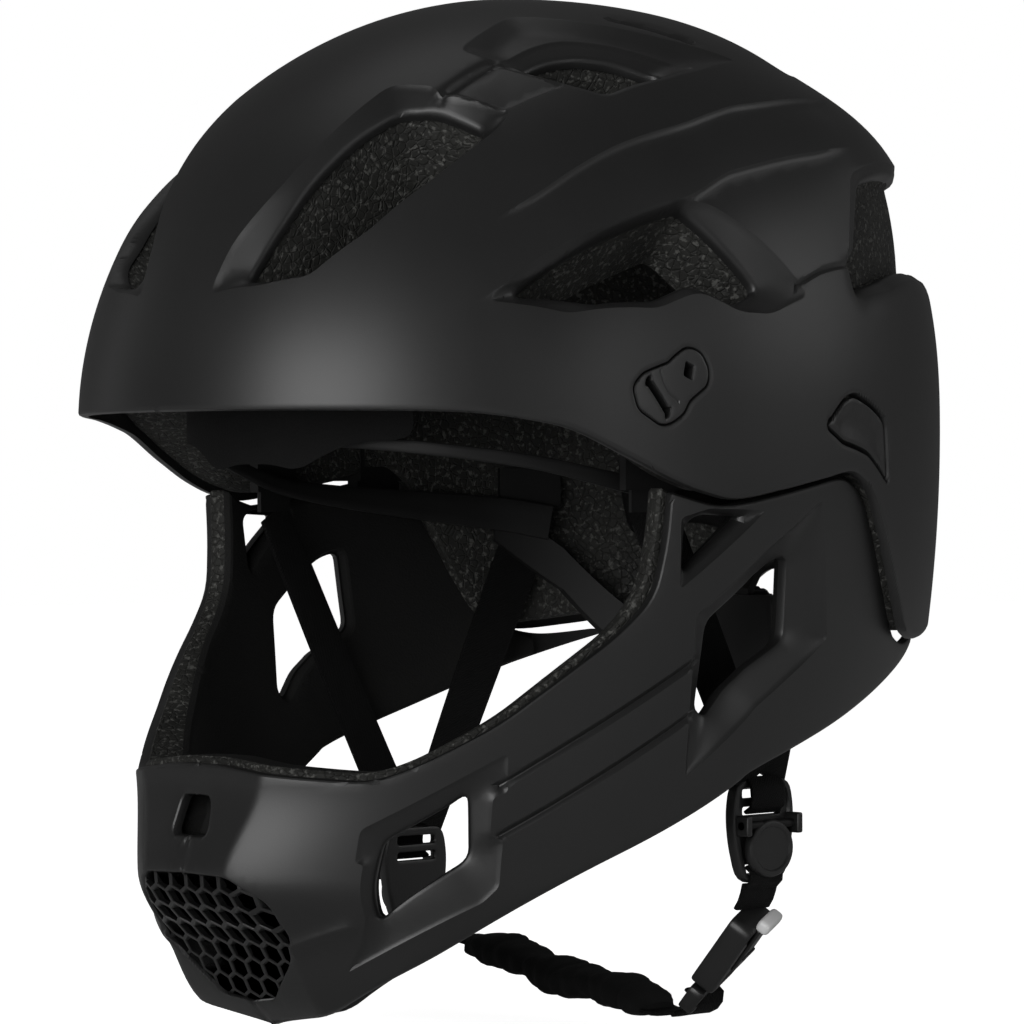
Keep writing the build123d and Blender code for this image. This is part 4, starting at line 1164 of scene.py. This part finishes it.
def makeGrille():
    half = np.array(guard["grilleOpening"])
    middle = np.array(grille["middle"])
    grown = middle + (np.concatenate([half, half[::-1] * (-1, 1)]) - middle) * (1 + grille["grow"])
    points = []
    faces = []
    for row in range(-grille["rows"], grille["rows"] + 1):
        for column in range(-grille["rows"], grille["rows"] + 1):
            u = (column + 0.5 * (row % 2)) * grille["pitch"]
            v = middle[1] + row * grille["pitch"] * math.sqrt(3) / 2 * grille["squash"]
            if not insideLoop(np.array([[u, v]]), grown)[0]:
                continue
            faces += ringFaces(5, 6, len(points))
            points += grilleCell(u, v)
    made = addMesh("chin_grille", points, faces, [satinPlastic], "chin_guard", "chin_grille", 30.0)
    mergeDoubles(0.00004)
    bpy.ops.object.mode_set(mode="EDIT")
    bpy.ops.mesh.select_all(action="DESELECT")
    bpy.ops.mesh.select_non_manifold()
    bpy.ops.mesh.edge_face_add()
    bpy.ops.object.mode_set(mode="OBJECT")
    turnOutwards()


makeGrille()
print("grille made")


# Foam lining inside the guard: a side piece left and right, and the chin pad
lining = {
    "outer": 3.4, "side": 7.5, "chin": 12.5, "edge": 0.8, "soft": 2.2, "spacing": 3.0, "lift": 0.6,
    # turns in degrees where the chin pad meets the side piece, and where that ends
    "split": -32.5, "end": 37.0,
    # degrees over which it thickens towards the chin, and how far before the split
    "grow": 26, "growFrom": 6,
    # mm of the foam's edge past the guard, and of bare foam beside the face opening
    "proud": 2.6, "bare": 8.5,
    "temple": [(-10.5, -25), (-3, -26), (-13.8, -44), (-14.2, -28)],
    # hollow behind the nose vent
    "noseHalf": 9.5, "noseLow": -117.5, "noseHigh": -101.5, "noseDepth": 8.0,
}


# The lining's cloth stops short of the face opening
def bareEdge(made):
    line = divided(guardChart(guard["opening"]), 3.0, False)
    middles = np.array([tuple(face.center) for face in made.data.polygons]) / mm
    middles[:, 0] = np.abs(middles[:, 0])
    away = awayFrom(middles, guardPlace(line), False)
    made.data.polygons.foreach_set("material_index", (away < lining["bare"]).astype(int))


def makeLining():
    border = guardBorder(lining["lift"], lining["proud"])
    holes = [grownLoop(guardPlace, windowLoop(windows[name], "hole", 1.8), 0.8) for name in ("side", "chin")]
    holes.append(roundedLoop(guardChart(lining["temple"]), 2, 1.8))
    cuts = []
    for cut in (lining["split"], lining["end"]):
        across = cut * guardShape["unroll"]
        cuts.append((divided([(across, 10.0), (across, -190.0)], 2.0, False), False))
    chart, faces = fillChart(guardPlace, border, holes, cuts, lining["spacing"], (0.8, 1.6))
    spots = guardPlace(chart)
    edge = toEdges(guardPlace, spots, guardRim(border), holes)
    turn = chart[:, 0] / guardShape["unroll"]
    toChin = np.clip((lining["split"] + lining["growFrom"] - turn) / lining["grow"], 0, 1)
    thick = lining["side"] + (lining["chin"] - lining["side"]) * toChin
    base = lining["outer"] + np.clip(guardDepth(chart, spots), 0, 4) * 0.8
    low, high = lining["noseLow"], lining["noseHigh"]
    nose = (np.abs(spots[:, 0]) < lining["noseHalf"]) & (spots[:, 2] > low) & (spots[:, 2] < high)
    base += np.where(nose, lining["noseDepth"], 0)
    outer = guardPlace(chart, base + roundedEdge(edge, lining["edge"]))
    inner = guardPlace(chart, lining["outer"] + thick - roundedEdge(edge, lining["soft"]))
    closeMiddle(np.abs(chart[:, 0] - guardMiddle) < 1e-3, outer, inner)
    turns = chart[faces].mean(1)[:, 0] / guardShape["unroll"]
    onSide = (turns > lining["split"]) & (turns < lining["end"])
    foams = [liningFoam, speckledFoam]
    for name, keep, mirrored, sides in (
            ("guard_liner", onSide, False, (1, -1)), ("chin_pad", turns < lining["split"], True, (1,))):
        used, kept = usedBy(len(chart), faces[keep])
        for made in wallPiece(
                name, kept, outer[used], inner[used], foams, "chin_guard", name, mirrored, sides):
            bareEdge(made)


makeLining()
print("guard lining made")


# Foam liner between the shell and the head
liner = {
    "inset": 2.7, "lip": 2.5, "shrink": 0.7, "funnel": 0.32, "fade": 15.0, "spacing": 3.2,
    "edge": 0.8, "soft": 2.0, "behindAnchor": 2.9, "behindButton": 1.2,
}


def makeLiner():
    border = halfBorder([(turn, share - liner["lip"] / bowlShape["drop"]) for turn, share in shellRim()])
    holes = [
        grownLoop(shellPlace, ventLoop(vent, "hole", 2.0), -liner["shrink"])
        for name, vent in vents.items() if name not in rear["vents"]]
    walls = [ventLoop(vents[name], "hole", 1.6) for name in rear["vents"]]
    lines = [(wall, True) for wall in walls]
    chart, faces = fillChart(shellPlace, border, holes, lines, liner["spacing"], (0.8, 1.8))
    chart[np.abs(chart[:, 0]) < 1e-4, 0] = 0
    spots = shellPlace(chart)
    depth = liner["inset"] + shellDepth(chart, spots)
    for marks, deep in ((anchor["marks"], liner["behindAnchor"]), (button["marks"], liner["behindButton"])):
        grown = grownLoop(shellPlace, roundedLoop(bowlChart(marks), 3, 1.4), 1.0)
        depth += np.where(insideLoop(chart, grown), deep, 0)
    turn, share = fromBowlChart(chart)
    under = rear["under"] - rearSwell(turn, rear["lip"] + 0 * share)
    down = np.clip((share - rear["lip"]) / (rear["foot"] - rear["lip"]), 0, 1)
    for wall in walls:
        depth = np.where(insideLoop(chart, wall), under + (rear["deep"] - under) * down, depth)
    # the holes narrow towards the head
    warped = chart.copy()
    for hole in holes:
        pull = liner["funnel"] * np.clip(1 - awayFrom(spots, shellPlace(hole)) / liner["fade"], 0, 1) ** 2
        warped += (hole.mean(0) - chart) * pull[:, None]
    edge = toEdges(shellPlace, spots, border[np.abs(border[:, 0]) > 1e-3], holes)
    outer = shellPlace(chart, depth + roundedEdge(edge, liner["edge"]))
    inner = cavityPlace(warped, -roundedEdge(edge, liner["soft"]))
    closeMiddle(chart[:, 0] == 0, outer, inner)
    made, = wallPiece("impact_liner", faces, outer, inner, [speckledFoam], "helmet", "impact_liner")


makeLiner()
print("impact liner made")


# Comfort pads on the liner's inner wall: turn and share of each corner, and of each stitched channel's ends
pads = {
    "brow_pad": {
        "marks": [(-90, .845), (-62, .86), (-57, .93), (-55.5, 1.05), (-60, 1.075), (-79, 1.18), (-90, 1.15)],
        "seams": [[(-70, .85), (-70, 1.15)]], "mirrored": True,
    },
    "side_pad": {
        "marks": [(-12, .79), (26, .79), (27, .975), (-13, .98)],
        "seams": [[(-12, .79), (27, .975)]], "mirrored": False,
    },
    "nape_pad": {"marks": [(57, 1.10), (83, 1.09), (84, 1.43), (60, 1.45)], "seams": [], "mirrored": False},
}
# Strips at the crown, in mm of the flat chart
crownPads = {
    "crown_pad_middle": {"corners": [(0, -64), (11, -62), (11, 62), (0, 64)], "corner": 8, "mirrored": True},
    "crown_pad": {"corners": [(33, -42), (54, -36), (54, 44), (33, 50)], "corner": 9, "mirrored": False},
}
padShape = {
    "gap": 0.3, "thick": 4.0, "soft": 3.6, "least": 0.35, "fill": 0.6, "corner": 9, "spacing": 2.4,
    "along": 2.2, "channel": 1.2, "channelWidth": 1.4,
}


def pillow(chart, loop, seams):
    spots = cavityPlace(chart)
    away = awayFrom(spots, cavityPlace(loop), False)
    thick = padShape["thick"] - roundedEdge(away, padShape["soft"]) * padShape["thick"] / padShape["soft"]
    for seam in seams:
        gap = awayFrom(spots, cavityPlace(divided(seam, 2.0, False)), False)
        thick -= padShape["channel"] * np.exp(-(gap / padShape["channelWidth"]) ** 2)
    return np.maximum(thick, padShape["least"])


def padWall(name, border, loop, seams, mirrored, node=None):
    chart, faces = fillChart(cavityPlace, border, [], [], padShape["spacing"], (0.8, 1.8, 3.0))
    outer = cavityPlace(chart, padShape["gap"])
    inner = cavityPlace(chart, padShape["gap"] + pillow(chart, loop, seams))
    closeMiddle(np.abs(chart[:, 0]) < 1e-3, outer, inner)
    sides = (1,) if mirrored else (1, -1)
    return wallPiece(name, faces, outer, inner, [padCloth], "helmet", node, mirrored, sides, 60.0)


def padBorder(corners, mirrored, corner):
    if mirrored:
        path = roundedPath(corners, corner, padShape["along"])
        return divided([*path], padShape["along"], True), path
    border = roundedLoop(corners, corner, padShape["along"])
    return border, np.concatenate([border, border[:1]])


def makePads():
    for name, pad in pads.items():
        corners = bowlChart(pad["marks"])
        if pad["mirrored"]:
            corners[[0, -1], 0] = 0
        border, loop = padBorder(corners, pad["mirrored"], padShape["corner"])
        if pad["mirrored"]:
            loop = loop[1:-1]
        seams = [bowlChart(seam) for seam in pad["seams"]]
        for made in padWall(name, border, loop, seams, pad["mirrored"], name):
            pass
    for name, pad in crownPads.items():
        border, loop = padBorder(pad["corners"], pad["mirrored"], pad["corner"])
        for made in padWall(name, border, loop, [], pad["mirrored"]):
            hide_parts("crown_pads")


makePads()
print("comfort pads made")


# Webbing: each run follows its CAD strip
webbing = {
    "width": 15.0, "thick": 1.4, "plane": 28.0, "step": 2.5, "ripple": 0.18, "rippleLength": 23.0,
    # half of the section, across and up as shares of width and thickness
    "section": [
        (-0.5, 0.0), (-0.485, 0.38), (-0.44, 0.5), (-0.15, 0.5), (0.15, 0.5), (0.44, 0.5), (0.485, 0.38),
    ],
}


def catmull(points, step):
    points = np.array(points, float)
    lengths = np.concatenate([[0], np.cumsum(np.linalg.norm(np.diff(points, axis=0), axis=1))])
    count = max(2, int(lengths[-1] / step))
    at = np.linspace(0, lengths[-1], count + 1)
    slopes = np.gradient(points, lengths, axis=0)
    i = np.clip(np.searchsorted(lengths, at) - 1, 0, len(points) - 2)
    span = (lengths[i + 1] - lengths[i])[:, None]
    t = ((at - lengths[i]) / span[:, 0])[:, None]
    h = 3 * t ** 2 - 2 * t ** 3
    start = span * slopes[i] * (t ** 3 - 2 * t ** 2 + t)
    end = span * slopes[i + 1] * (t ** 3 - t ** 2)
    return points[i] * (1 - h) + points[i + 1] * h + start + end, at


# Directions along a line of points
def directions(line):
    along = np.gradient(line, axis=0)
    return along / np.linalg.norm(along, axis=1)[:, None]


def lengthsAlong(points):
    return np.concatenate([[0], np.cumsum(np.linalg.norm(np.diff(points, axis=0), axis=1))])


def ribbon(name, points, across, body, node, size=None, finished=None, shape=None):
    width, thick = size or (webbing["width"], webbing["thick"])
    line, at = catmull(points, webbing["step"])
    where = np.linspace(0, 1, len(line))
    base = np.linspace(0, 1, len(across))
    sides = np.stack([np.interp(where, base, np.array(across, float)[:, k]) for k in range(3)], -1)
    along = directions(line)
    sides = sides - (sides * along).sum(1)[:, None] * along
    sides /= np.linalg.norm(sides, axis=1)[:, None]
    up = np.cross(along, sides)
    ring = webbing["section"] + [(-u, -v) for u, v in webbing["section"]]
    verts = []
    uv = []
    for k in range(len(line)):
        wave = webbing["ripple"] * math.sin(at[k] / webbing["rippleLength"] * 2 * math.pi)
        wide, fat = shape(k / (len(line) - 1)) if shape else (width, thick)
        for u, v in ring:
            verts.append(line[k] + sides[k] * u * wide + up[k] * (v * fat + wave * (1 - 2 * abs(u))))
            uv.append((u + 0.5, at[k] / width))
    faces = ringFaces(len(line), len(ring), 0, True)
    made = addMesh(name, verts, faces, [finished or wovenStrap], body, node, 50.0, uv)
    turnOutwards()
    return made


# Where each strap starts and meets its divider, for the left side
straps = {
    "front": {"root": (79.6, -24.0, -26.0), "angle": -12.0, "end": (73.95, 24.0), "slack": 1.2},
    "rear": {"root": (61.5, 69.0, -31.0), "angle": 30.0, "end": (72.05, 32.0), "slack": 1.0},
    "above": 15.5,
    # side, level of the divider, what the straps and the lever ride with
    "left": (1, -119.0, "helmet", "lever_left"),
    "right": (-1, -140.0, "right_strap", "lever_right"),
}
# x and z of the runs in the plane of the buckle
runs = {
    "lower_strap_left": {
        "marks": [(73, -134.2), (72.4, -136.4), (71.4, -139.0), (69.6, -141.6)],
        "body": "helmet", "node": "lower_strap_left", "size": None,
    },
    "chin_strap": {
        "marks": [
            (-73, -155.7), (-71.5, -159.0), (-66, -160.2), (-50, -158.2), (-30, -161.5), (-5, -167.5),
            (20, -170), (35, -174.6), (45.4, -173.6),
        ],
        "body": "right_strap", "node": "chin_strap", "size": None,
    },
    "chin_strap_turn": {
        "marks": [(44.0, -174.4), (48.2, -173.6), (51.4, -170.6), (51.6, -167.6), (49.6, -166.4)],
        "body": "right_strap", "node": None, "size": (14.6, 1.3),
    },
}


def flatRun(name, marks, body, node, size, side=1, level=0.0):
    points = [(side * x, webbing["plane"], level + z) for x, z in marks]
    ribbon(name, points, [(0, 1, 0)] * len(marks), body, node, size)


def makeStraps():
    for label in ("left", "right"):
        side, level, body, _ = straps[label]
        for end in ("front", "rear"):
            strap = straps[end]
            start = np.array(strap["root"])
            foot = np.array([*strap["end"], level + straps["above"]])
            angle = math.radians(strap["angle"])
            first = np.array([-math.sin(angle), math.cos(angle), 0])
            points = []
            across = []
            for t in np.linspace(0, 1, 9):
                spot = start + (foot - start) * t
                spot[0] += strap["slack"] * math.sin(math.pi * t) * 0.5
                points.append(spot * (side, 1, 1))
                across.append((first * (1 - t) + np.array([0, 1, 0]) * t) * (side, 1, 1))
            name = f"{end}_strap_{label}"
            ribbon(name, points, across, body, name)
    for name, run in runs.items():
        flatRun(name, run["marks"], run["body"], run["node"], run["size"])


makeStraps()
print("webbing made")


# Flat moulded plates, drawn in a plane of their own, with depth going in from the outer face
def planePlace(origin, across, up, out):
    origin, across, up, out = (np.array(v, float) for v in (origin, across, up, out))

    def spots(chart, inset=0.0):
        inset = np.zeros(len(chart)) + inset
        return origin + chart[:, :1] * across + chart[:, 1:] * up - inset[:, None] * out
    return spots


# Which way beside() turns to go into a loop
def inwardSign(spots, outline):
    loop = roundedLoop(outline, 2.0, 0.9)
    grown = beside(spots, loop, 1.0)
    return -1 if np.ptp(grown[:, 0]) > np.ptp(loop[:, 0]) else 1


# A plate with rounded edges, and with a sunk face inside its rim where it has a dish
def plate(name, spots, outline, holes, thick, edge, body, corner=2.0, dish=None, side=1):
    border = roundedLoop(outline, corner, 0.9)
    loops = [roundedLoop(hole, 0.9, 0.7) for hole in holes]
    lines = []
    if dish:
        sign = inwardSign(spots, outline)
        for away in (dish["rim"], dish["rim"] + dish["slope"]):
            lines.append((beside(spots, border, sign * away), True))
    chart, faces = fillChart(spots, border, loops, lines, 1.1, (0.25, 0.6))
    where = spots(chart)
    away = toEdges(spots, where, border, loops, True)
    depth = roundedEdge(away, edge)
    if dish:
        toRim = awayFrom(where, spots(border))
        depth = depth + np.clip((toRim - dish["rim"]) / dish["slope"], 0, 1) * dish["depth"]
    outer = spots(chart, depth)
    inner = spots(chart, thick - roundedEdge(away, edge * 0.7))
    made, = wallPiece(name, faces, outer, inner, [satinPlastic], body, name, False, (side,))
    return made


divider = {
    "x": 73.0, "y": 28.0, "thick": 3.6, "edge": 0.9, "corner": 5.0,
    "dish": {"rim": 2.0, "slope": 0.5, "depth": 0.8},
    "outline": [
        (-13.4, 6), (-11.5, 15), (11.5, 15), (13.4, 6), (12.6, -3), (9.0, -15), (-9.0, -15), (-12.6, -3),
    ],
    "slots": [
        [(-8.1, 9.7), (8.1, 9.7), (8.1, 12.3), (-8.1, 12.3)],
        [(-8.1, 4.7), (8.1, 4.7), (8.1, 7.2), (-8.1, 7.2)],
        [(-7.4, -12.2), (7.4, -12.2), (7.4, -9.6), (-7.4, -9.6)],
    ],
    "pinUp": 2.0, "earHalfSpan": 10.95, "ear": 1.1, "earHalf": 3.0, "earIn": 1.2, "earOut": 4.5,
    "earEdge": 0.6,
    # x and z of the webbing's turns through the slots
    "turns": {
        "upper_loop_": ([
            (73.9, 15.6), (75.8, 13.9), (76.3, 11.4), (76.2, 8.4), (75.2, 6.2), (73.4, 5.6),
        ], (14.6, 1.3)),
        "lower_loop_": ([
            (73.4, -10.2), (75.3, -11.2), (75.8, -13.2), (74.6, -15.4), (73.2, -16.4),
        ], (14.0, 1.3)),
    },
}
lever = {
    "halfWidth": 9.5, "halfHeight": 8.5, "down": -5.0, "out": 78.15, "thick": 3.0, "edge": 1.1, "corner": 1.0,
    "dish": {"rim": 1.8, "slope": 0.5, "depth": 0.45},
}


def makeDividers():
    for label in ("left", "right"):
        side, level, body, leverBody = straps[label]
        face = divider["x"] + divider["thick"] / 2
        spots = planePlace((face, divider["y"], level), (0, 1, 0), (0, 0, 1), (1, 0, 0))
        made = plate(
            "strap_divider_" + label, spots, divider["outline"], divider["slots"], divider["thick"],
            divider["edge"], body, divider["corner"], divider["dish"], side)
        ears = []
        x = sorted((side * (face - divider["earIn"]), side * (face + divider["earOut"])))
        for end in (-1, 1):
            y = divider["y"] + end * divider["earHalfSpan"]
            ears.append(block(
                (x[0], y - divider["ear"], level + divider["pinUp"] - divider["earHalf"]),
                (x[1], y + divider["ear"], level + divider["pinUp"] + divider["earHalf"]),
                divider["earEdge"], satinPlastic))
        joinTo(made, *ears)
        angles = np.linspace(0, 2 * math.pi, 28, endpoint=False)
        oval = [(lever["halfWidth"] * math.cos(a), lever["halfHeight"] * math.sin(a)) for a in angles]
        middle = (lever["out"], divider["y"], level + lever["down"])
        spots = planePlace(middle, (0, 1, 0), (0, 0, 1), (1, 0, 0))
        plate(
            "divider_lever_" + label, spots, oval, [], lever["thick"], lever["edge"], leverBody,
            lever["corner"], lever["dish"], side)
        for name, (marks, size) in divider["turns"].items():
            flatRun(name + label, marks, body, None, size, side, level)


makeDividers()
print("dividers made")


# The buckle's own axes: along the pull, across it and out of its face
buckle = {
    "centre": (62.0, 28.0, -153.5), "along": (-0.67, 0, -0.742), "tilt": -25.0,
    "half": (13.0, 9.5, 4.0), "edge": 1.5, "dish": {"rim": 2.6, "slope": 0.5, "depth": 0.7},
    "outline": [(-13.0, -8.0), (-11.0, -9.5), (13.0, -8.7), (13.0, 8.7), (-11.0, 9.5), (-13.0, 8.0)],
    "slot": [(-11.2, -8), (-8.6, -8), (-8.6, 8), (-11.2, 8)],
    "barStart": 13.55, "barLength": 9.0, "barHalfThick": 2.4, "barCorner": 2.2,
    "barSlot": (4.2, 6.8, 8.2),   # start, end and half width, from the bar's start
    "blade": ((3.0, -6, -1.5), (14.75, 6, 1.5)),
    # the tab: a slide with a rib on it and a grey grip at its end
    "slide": ((-12.6, -4.8, 3.5), (4.0, 4.8, 5.0)),
    "grip": ((-16.4, -5.6, 2.6), (-12.4, 5.6, 6.8)),
    "rib": ((-2.0, -4.2, 4.7), (-0.8, 4.2, 5.6)),
}


def buckleMatrix():
    along = Vector(buckle["along"]).normalized()
    across = Matrix.Rotation(math.radians(buckle["tilt"]), 3, along) @ Vector((0, 1, 0))
    matrix = Matrix((along, across, along.cross(across))).transposed().to_4x4()
    matrix.translation = Vector(buckle["centre"]) * mm
    return matrix


def makeBuckle():
    matrix = buckleMatrix()
    along, across, out = (np.array(matrix.col[k][:3]) for k in range(3))
    centre = np.array(buckle["centre"])
    _, width, thick = buckle["half"]
    spots = planePlace(centre + out * thick, along, across, out)
    plate(
        "buckle_socket", spots, buckle["outline"], [buckle["slot"]], 2 * thick, buckle["edge"], "helmet",
        dish=buckle["dish"])
    start = buckle["barStart"]
    end = start + buckle["barLength"]
    bar = buckle["barHalfThick"]
    near, far, half = buckle["barSlot"]
    slot = [(start + near, -half), (start + far, -half), (start + far, half), (start + near, half)]
    spots = planePlace(centre + out * bar, along, across, out)
    outline = [(start, -width), (end, -width), (end, width), (start, width)]
    tongue = plate("buckle_tongue", spots, outline, [slot], 2 * bar, 1.0, "right_strap", buckle["barCorner"])
    joinTo(tongue, block(*buckle["blade"], 0.5, satinPlastic, matrix))
    slide = block(*buckle["slide"], 0.6, satinPlastic, matrix)
    slide.name = "buckle_tab"
    grip = block(*buckle["grip"], 1.3, greyTab, matrix)
    rib = block(*buckle["rib"], 0.35, satinPlastic, matrix)
    joinTo(slide, grip, rib)
    rideWith(slide, "buckle_tab", "buckle_tab")


makeBuckle()
print("buckle made")


# Thin band from temple to temple, low at the rear: y, top level and height of its marks
headband = {
    "half": 76.0, "front": 98.0, "thick": 1.4, "rear": 70.0, "steps": 120,
    "marks": [(-98, -3.0, 3.5), (-56, -9.5, 4.0), (-22, -16.0, 5.5), (57, -22.0, 10.5), (70, -24.5, 11.0)],
}


def makeHeadband():
    end = math.asin(headband["rear"] / headband["front"])
    angles = np.linspace(end, -math.pi - end, headband["steps"])
    x = headband["half"] * np.cos(angles)
    y = headband["front"] * np.sin(angles)
    keys, tops, heights = zip(*headband["marks"])
    tall = smoothRun(keys, heights, y)
    points = np.stack([x, y, smoothRun(keys, tops, y) - tall / 2], -1)
    run = lengthsAlong(points)

    def shape(t):
        return float(np.interp(t, run / run[-1], tall)), headband["thick"]
    made = ribbon(
        "headband_front", points, [
            (0, 0, 1),
        ] * len(points), "helmet", "headband_front", None, dullPlastic, shape)


makeHeadband()
print("headband made")


# Padded sleeve on the chin strap
sleeve = {
    # x, z, width, thickness and twist in degrees along it
    "rings": [
        (-43.5, -159.2, 12.0, 3.6, 0), (-41, -159.6, 17.5, 6.8, 2), (-32, -161.1, 20.0, 9.6, 6),
        (-18, -164.4, 18.6, 8.4, -5), (-5, -167.5, 20.5, 10.6, 8), (8, -168.8, 18.8, 8.8, -6),
        (20, -170, 20.0, 10.2, 5), (29.5, -172.8, 17.0, 7.6, 0), (33, -173.8, 12.5, 3.6, 0),
    ],
    "bulge": 13.5, "bulgeDepth": 0.2, "step": 1.3, "around": 26,
    # how square its section is, and millimetres of it to one turn of the cloth's pattern
    "square": (0.72, 0.8), "cloth": 17,
}


# Small folds in the cloth round a point of the sleeve
def crease(run, angle):
    return 1 + 0.035 * math.sin(run * 1.1 + 3 * math.sin(angle)) + 0.03 * math.sin(run * 0.53 + 2 * angle)


def makeSleeve():
    rings = np.array(sleeve["rings"], float)
    path = np.stack([rings[:, 0], np.full(len(rings), webbing["plane"]), rings[:, 1]], -1)
    line, at = catmull(path, sleeve["step"])
    lengths = lengthsAlong(path)
    along = directions(line)
    verts = []
    uv = []
    count = sleeve["around"]
    for k, spot in enumerate(line):
        width, thick, twist = (float(np.interp(at[k], lengths, rings[:, i])) for i in (2, 3, 4))
        toEnd = min(min(at[k], at[-1] - at[k]) / 8, 1)
        bulge = abs(math.sin(math.pi * at[k] / sleeve["bulge"])) ** 0.5
        pinch = 1 - sleeve["bulgeDepth"] * (1 - bulge) * toEnd
        turned = Matrix.Rotation(math.radians(twist), 3, Vector(along[k]))
        side = np.array(turned @ Vector((0, 1, 0)))
        up = np.cross(along[k], side)
        for j in range(count):
            a = 2 * math.pi * j / count
            c = math.copysign(abs(math.cos(a)) ** sleeve["square"][0], math.cos(a))
            s = math.copysign(abs(math.sin(a)) ** sleeve["square"][1], math.sin(a))
            fold = crease(at[k], a)
            out = side * c * width / 2 * (0.5 + 0.5 * pinch) * fold
            verts.append(spot + out + up * s * thick / 2 * pinch * fold)
            uv.append((j / count * 2, at[k] / sleeve["cloth"]))
    faces = ringFaces(len(line), count, 0, True)
    made = addMesh("chin_strap_pad", verts, faces, [sleeveCloth], "right_strap", "chin_strap_pad", 60.0, uv)
    turnOutwards()


makeSleeve()
print("chin strap sleeve made")


# CAD nodes that stay get their finish
kept = [
    (dullPlastic, [
        "guard_socket_left", "guard_socket_right", "guard_post_left", "guard_post_right", "strap_anchors",
        "headband_left", "headband_right", "headband_yoke", "divider_pin_left", "divider_pin_right",
    ]),
    (satinPlastic, ["dial_housing", "dial_pinion", "dial_knob"]),
    (steel, ["dial_screw", "button_spring_left", "button_spring_right"]),
]


def finishKept():
    for made, names in kept:
        for name in names:
            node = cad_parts[name]
            if not node.material_slots:
                node.data.materials.append(made)
            for slot in node.material_slots:
                slot.material = made


finishKept()
print("hidden parts finished")
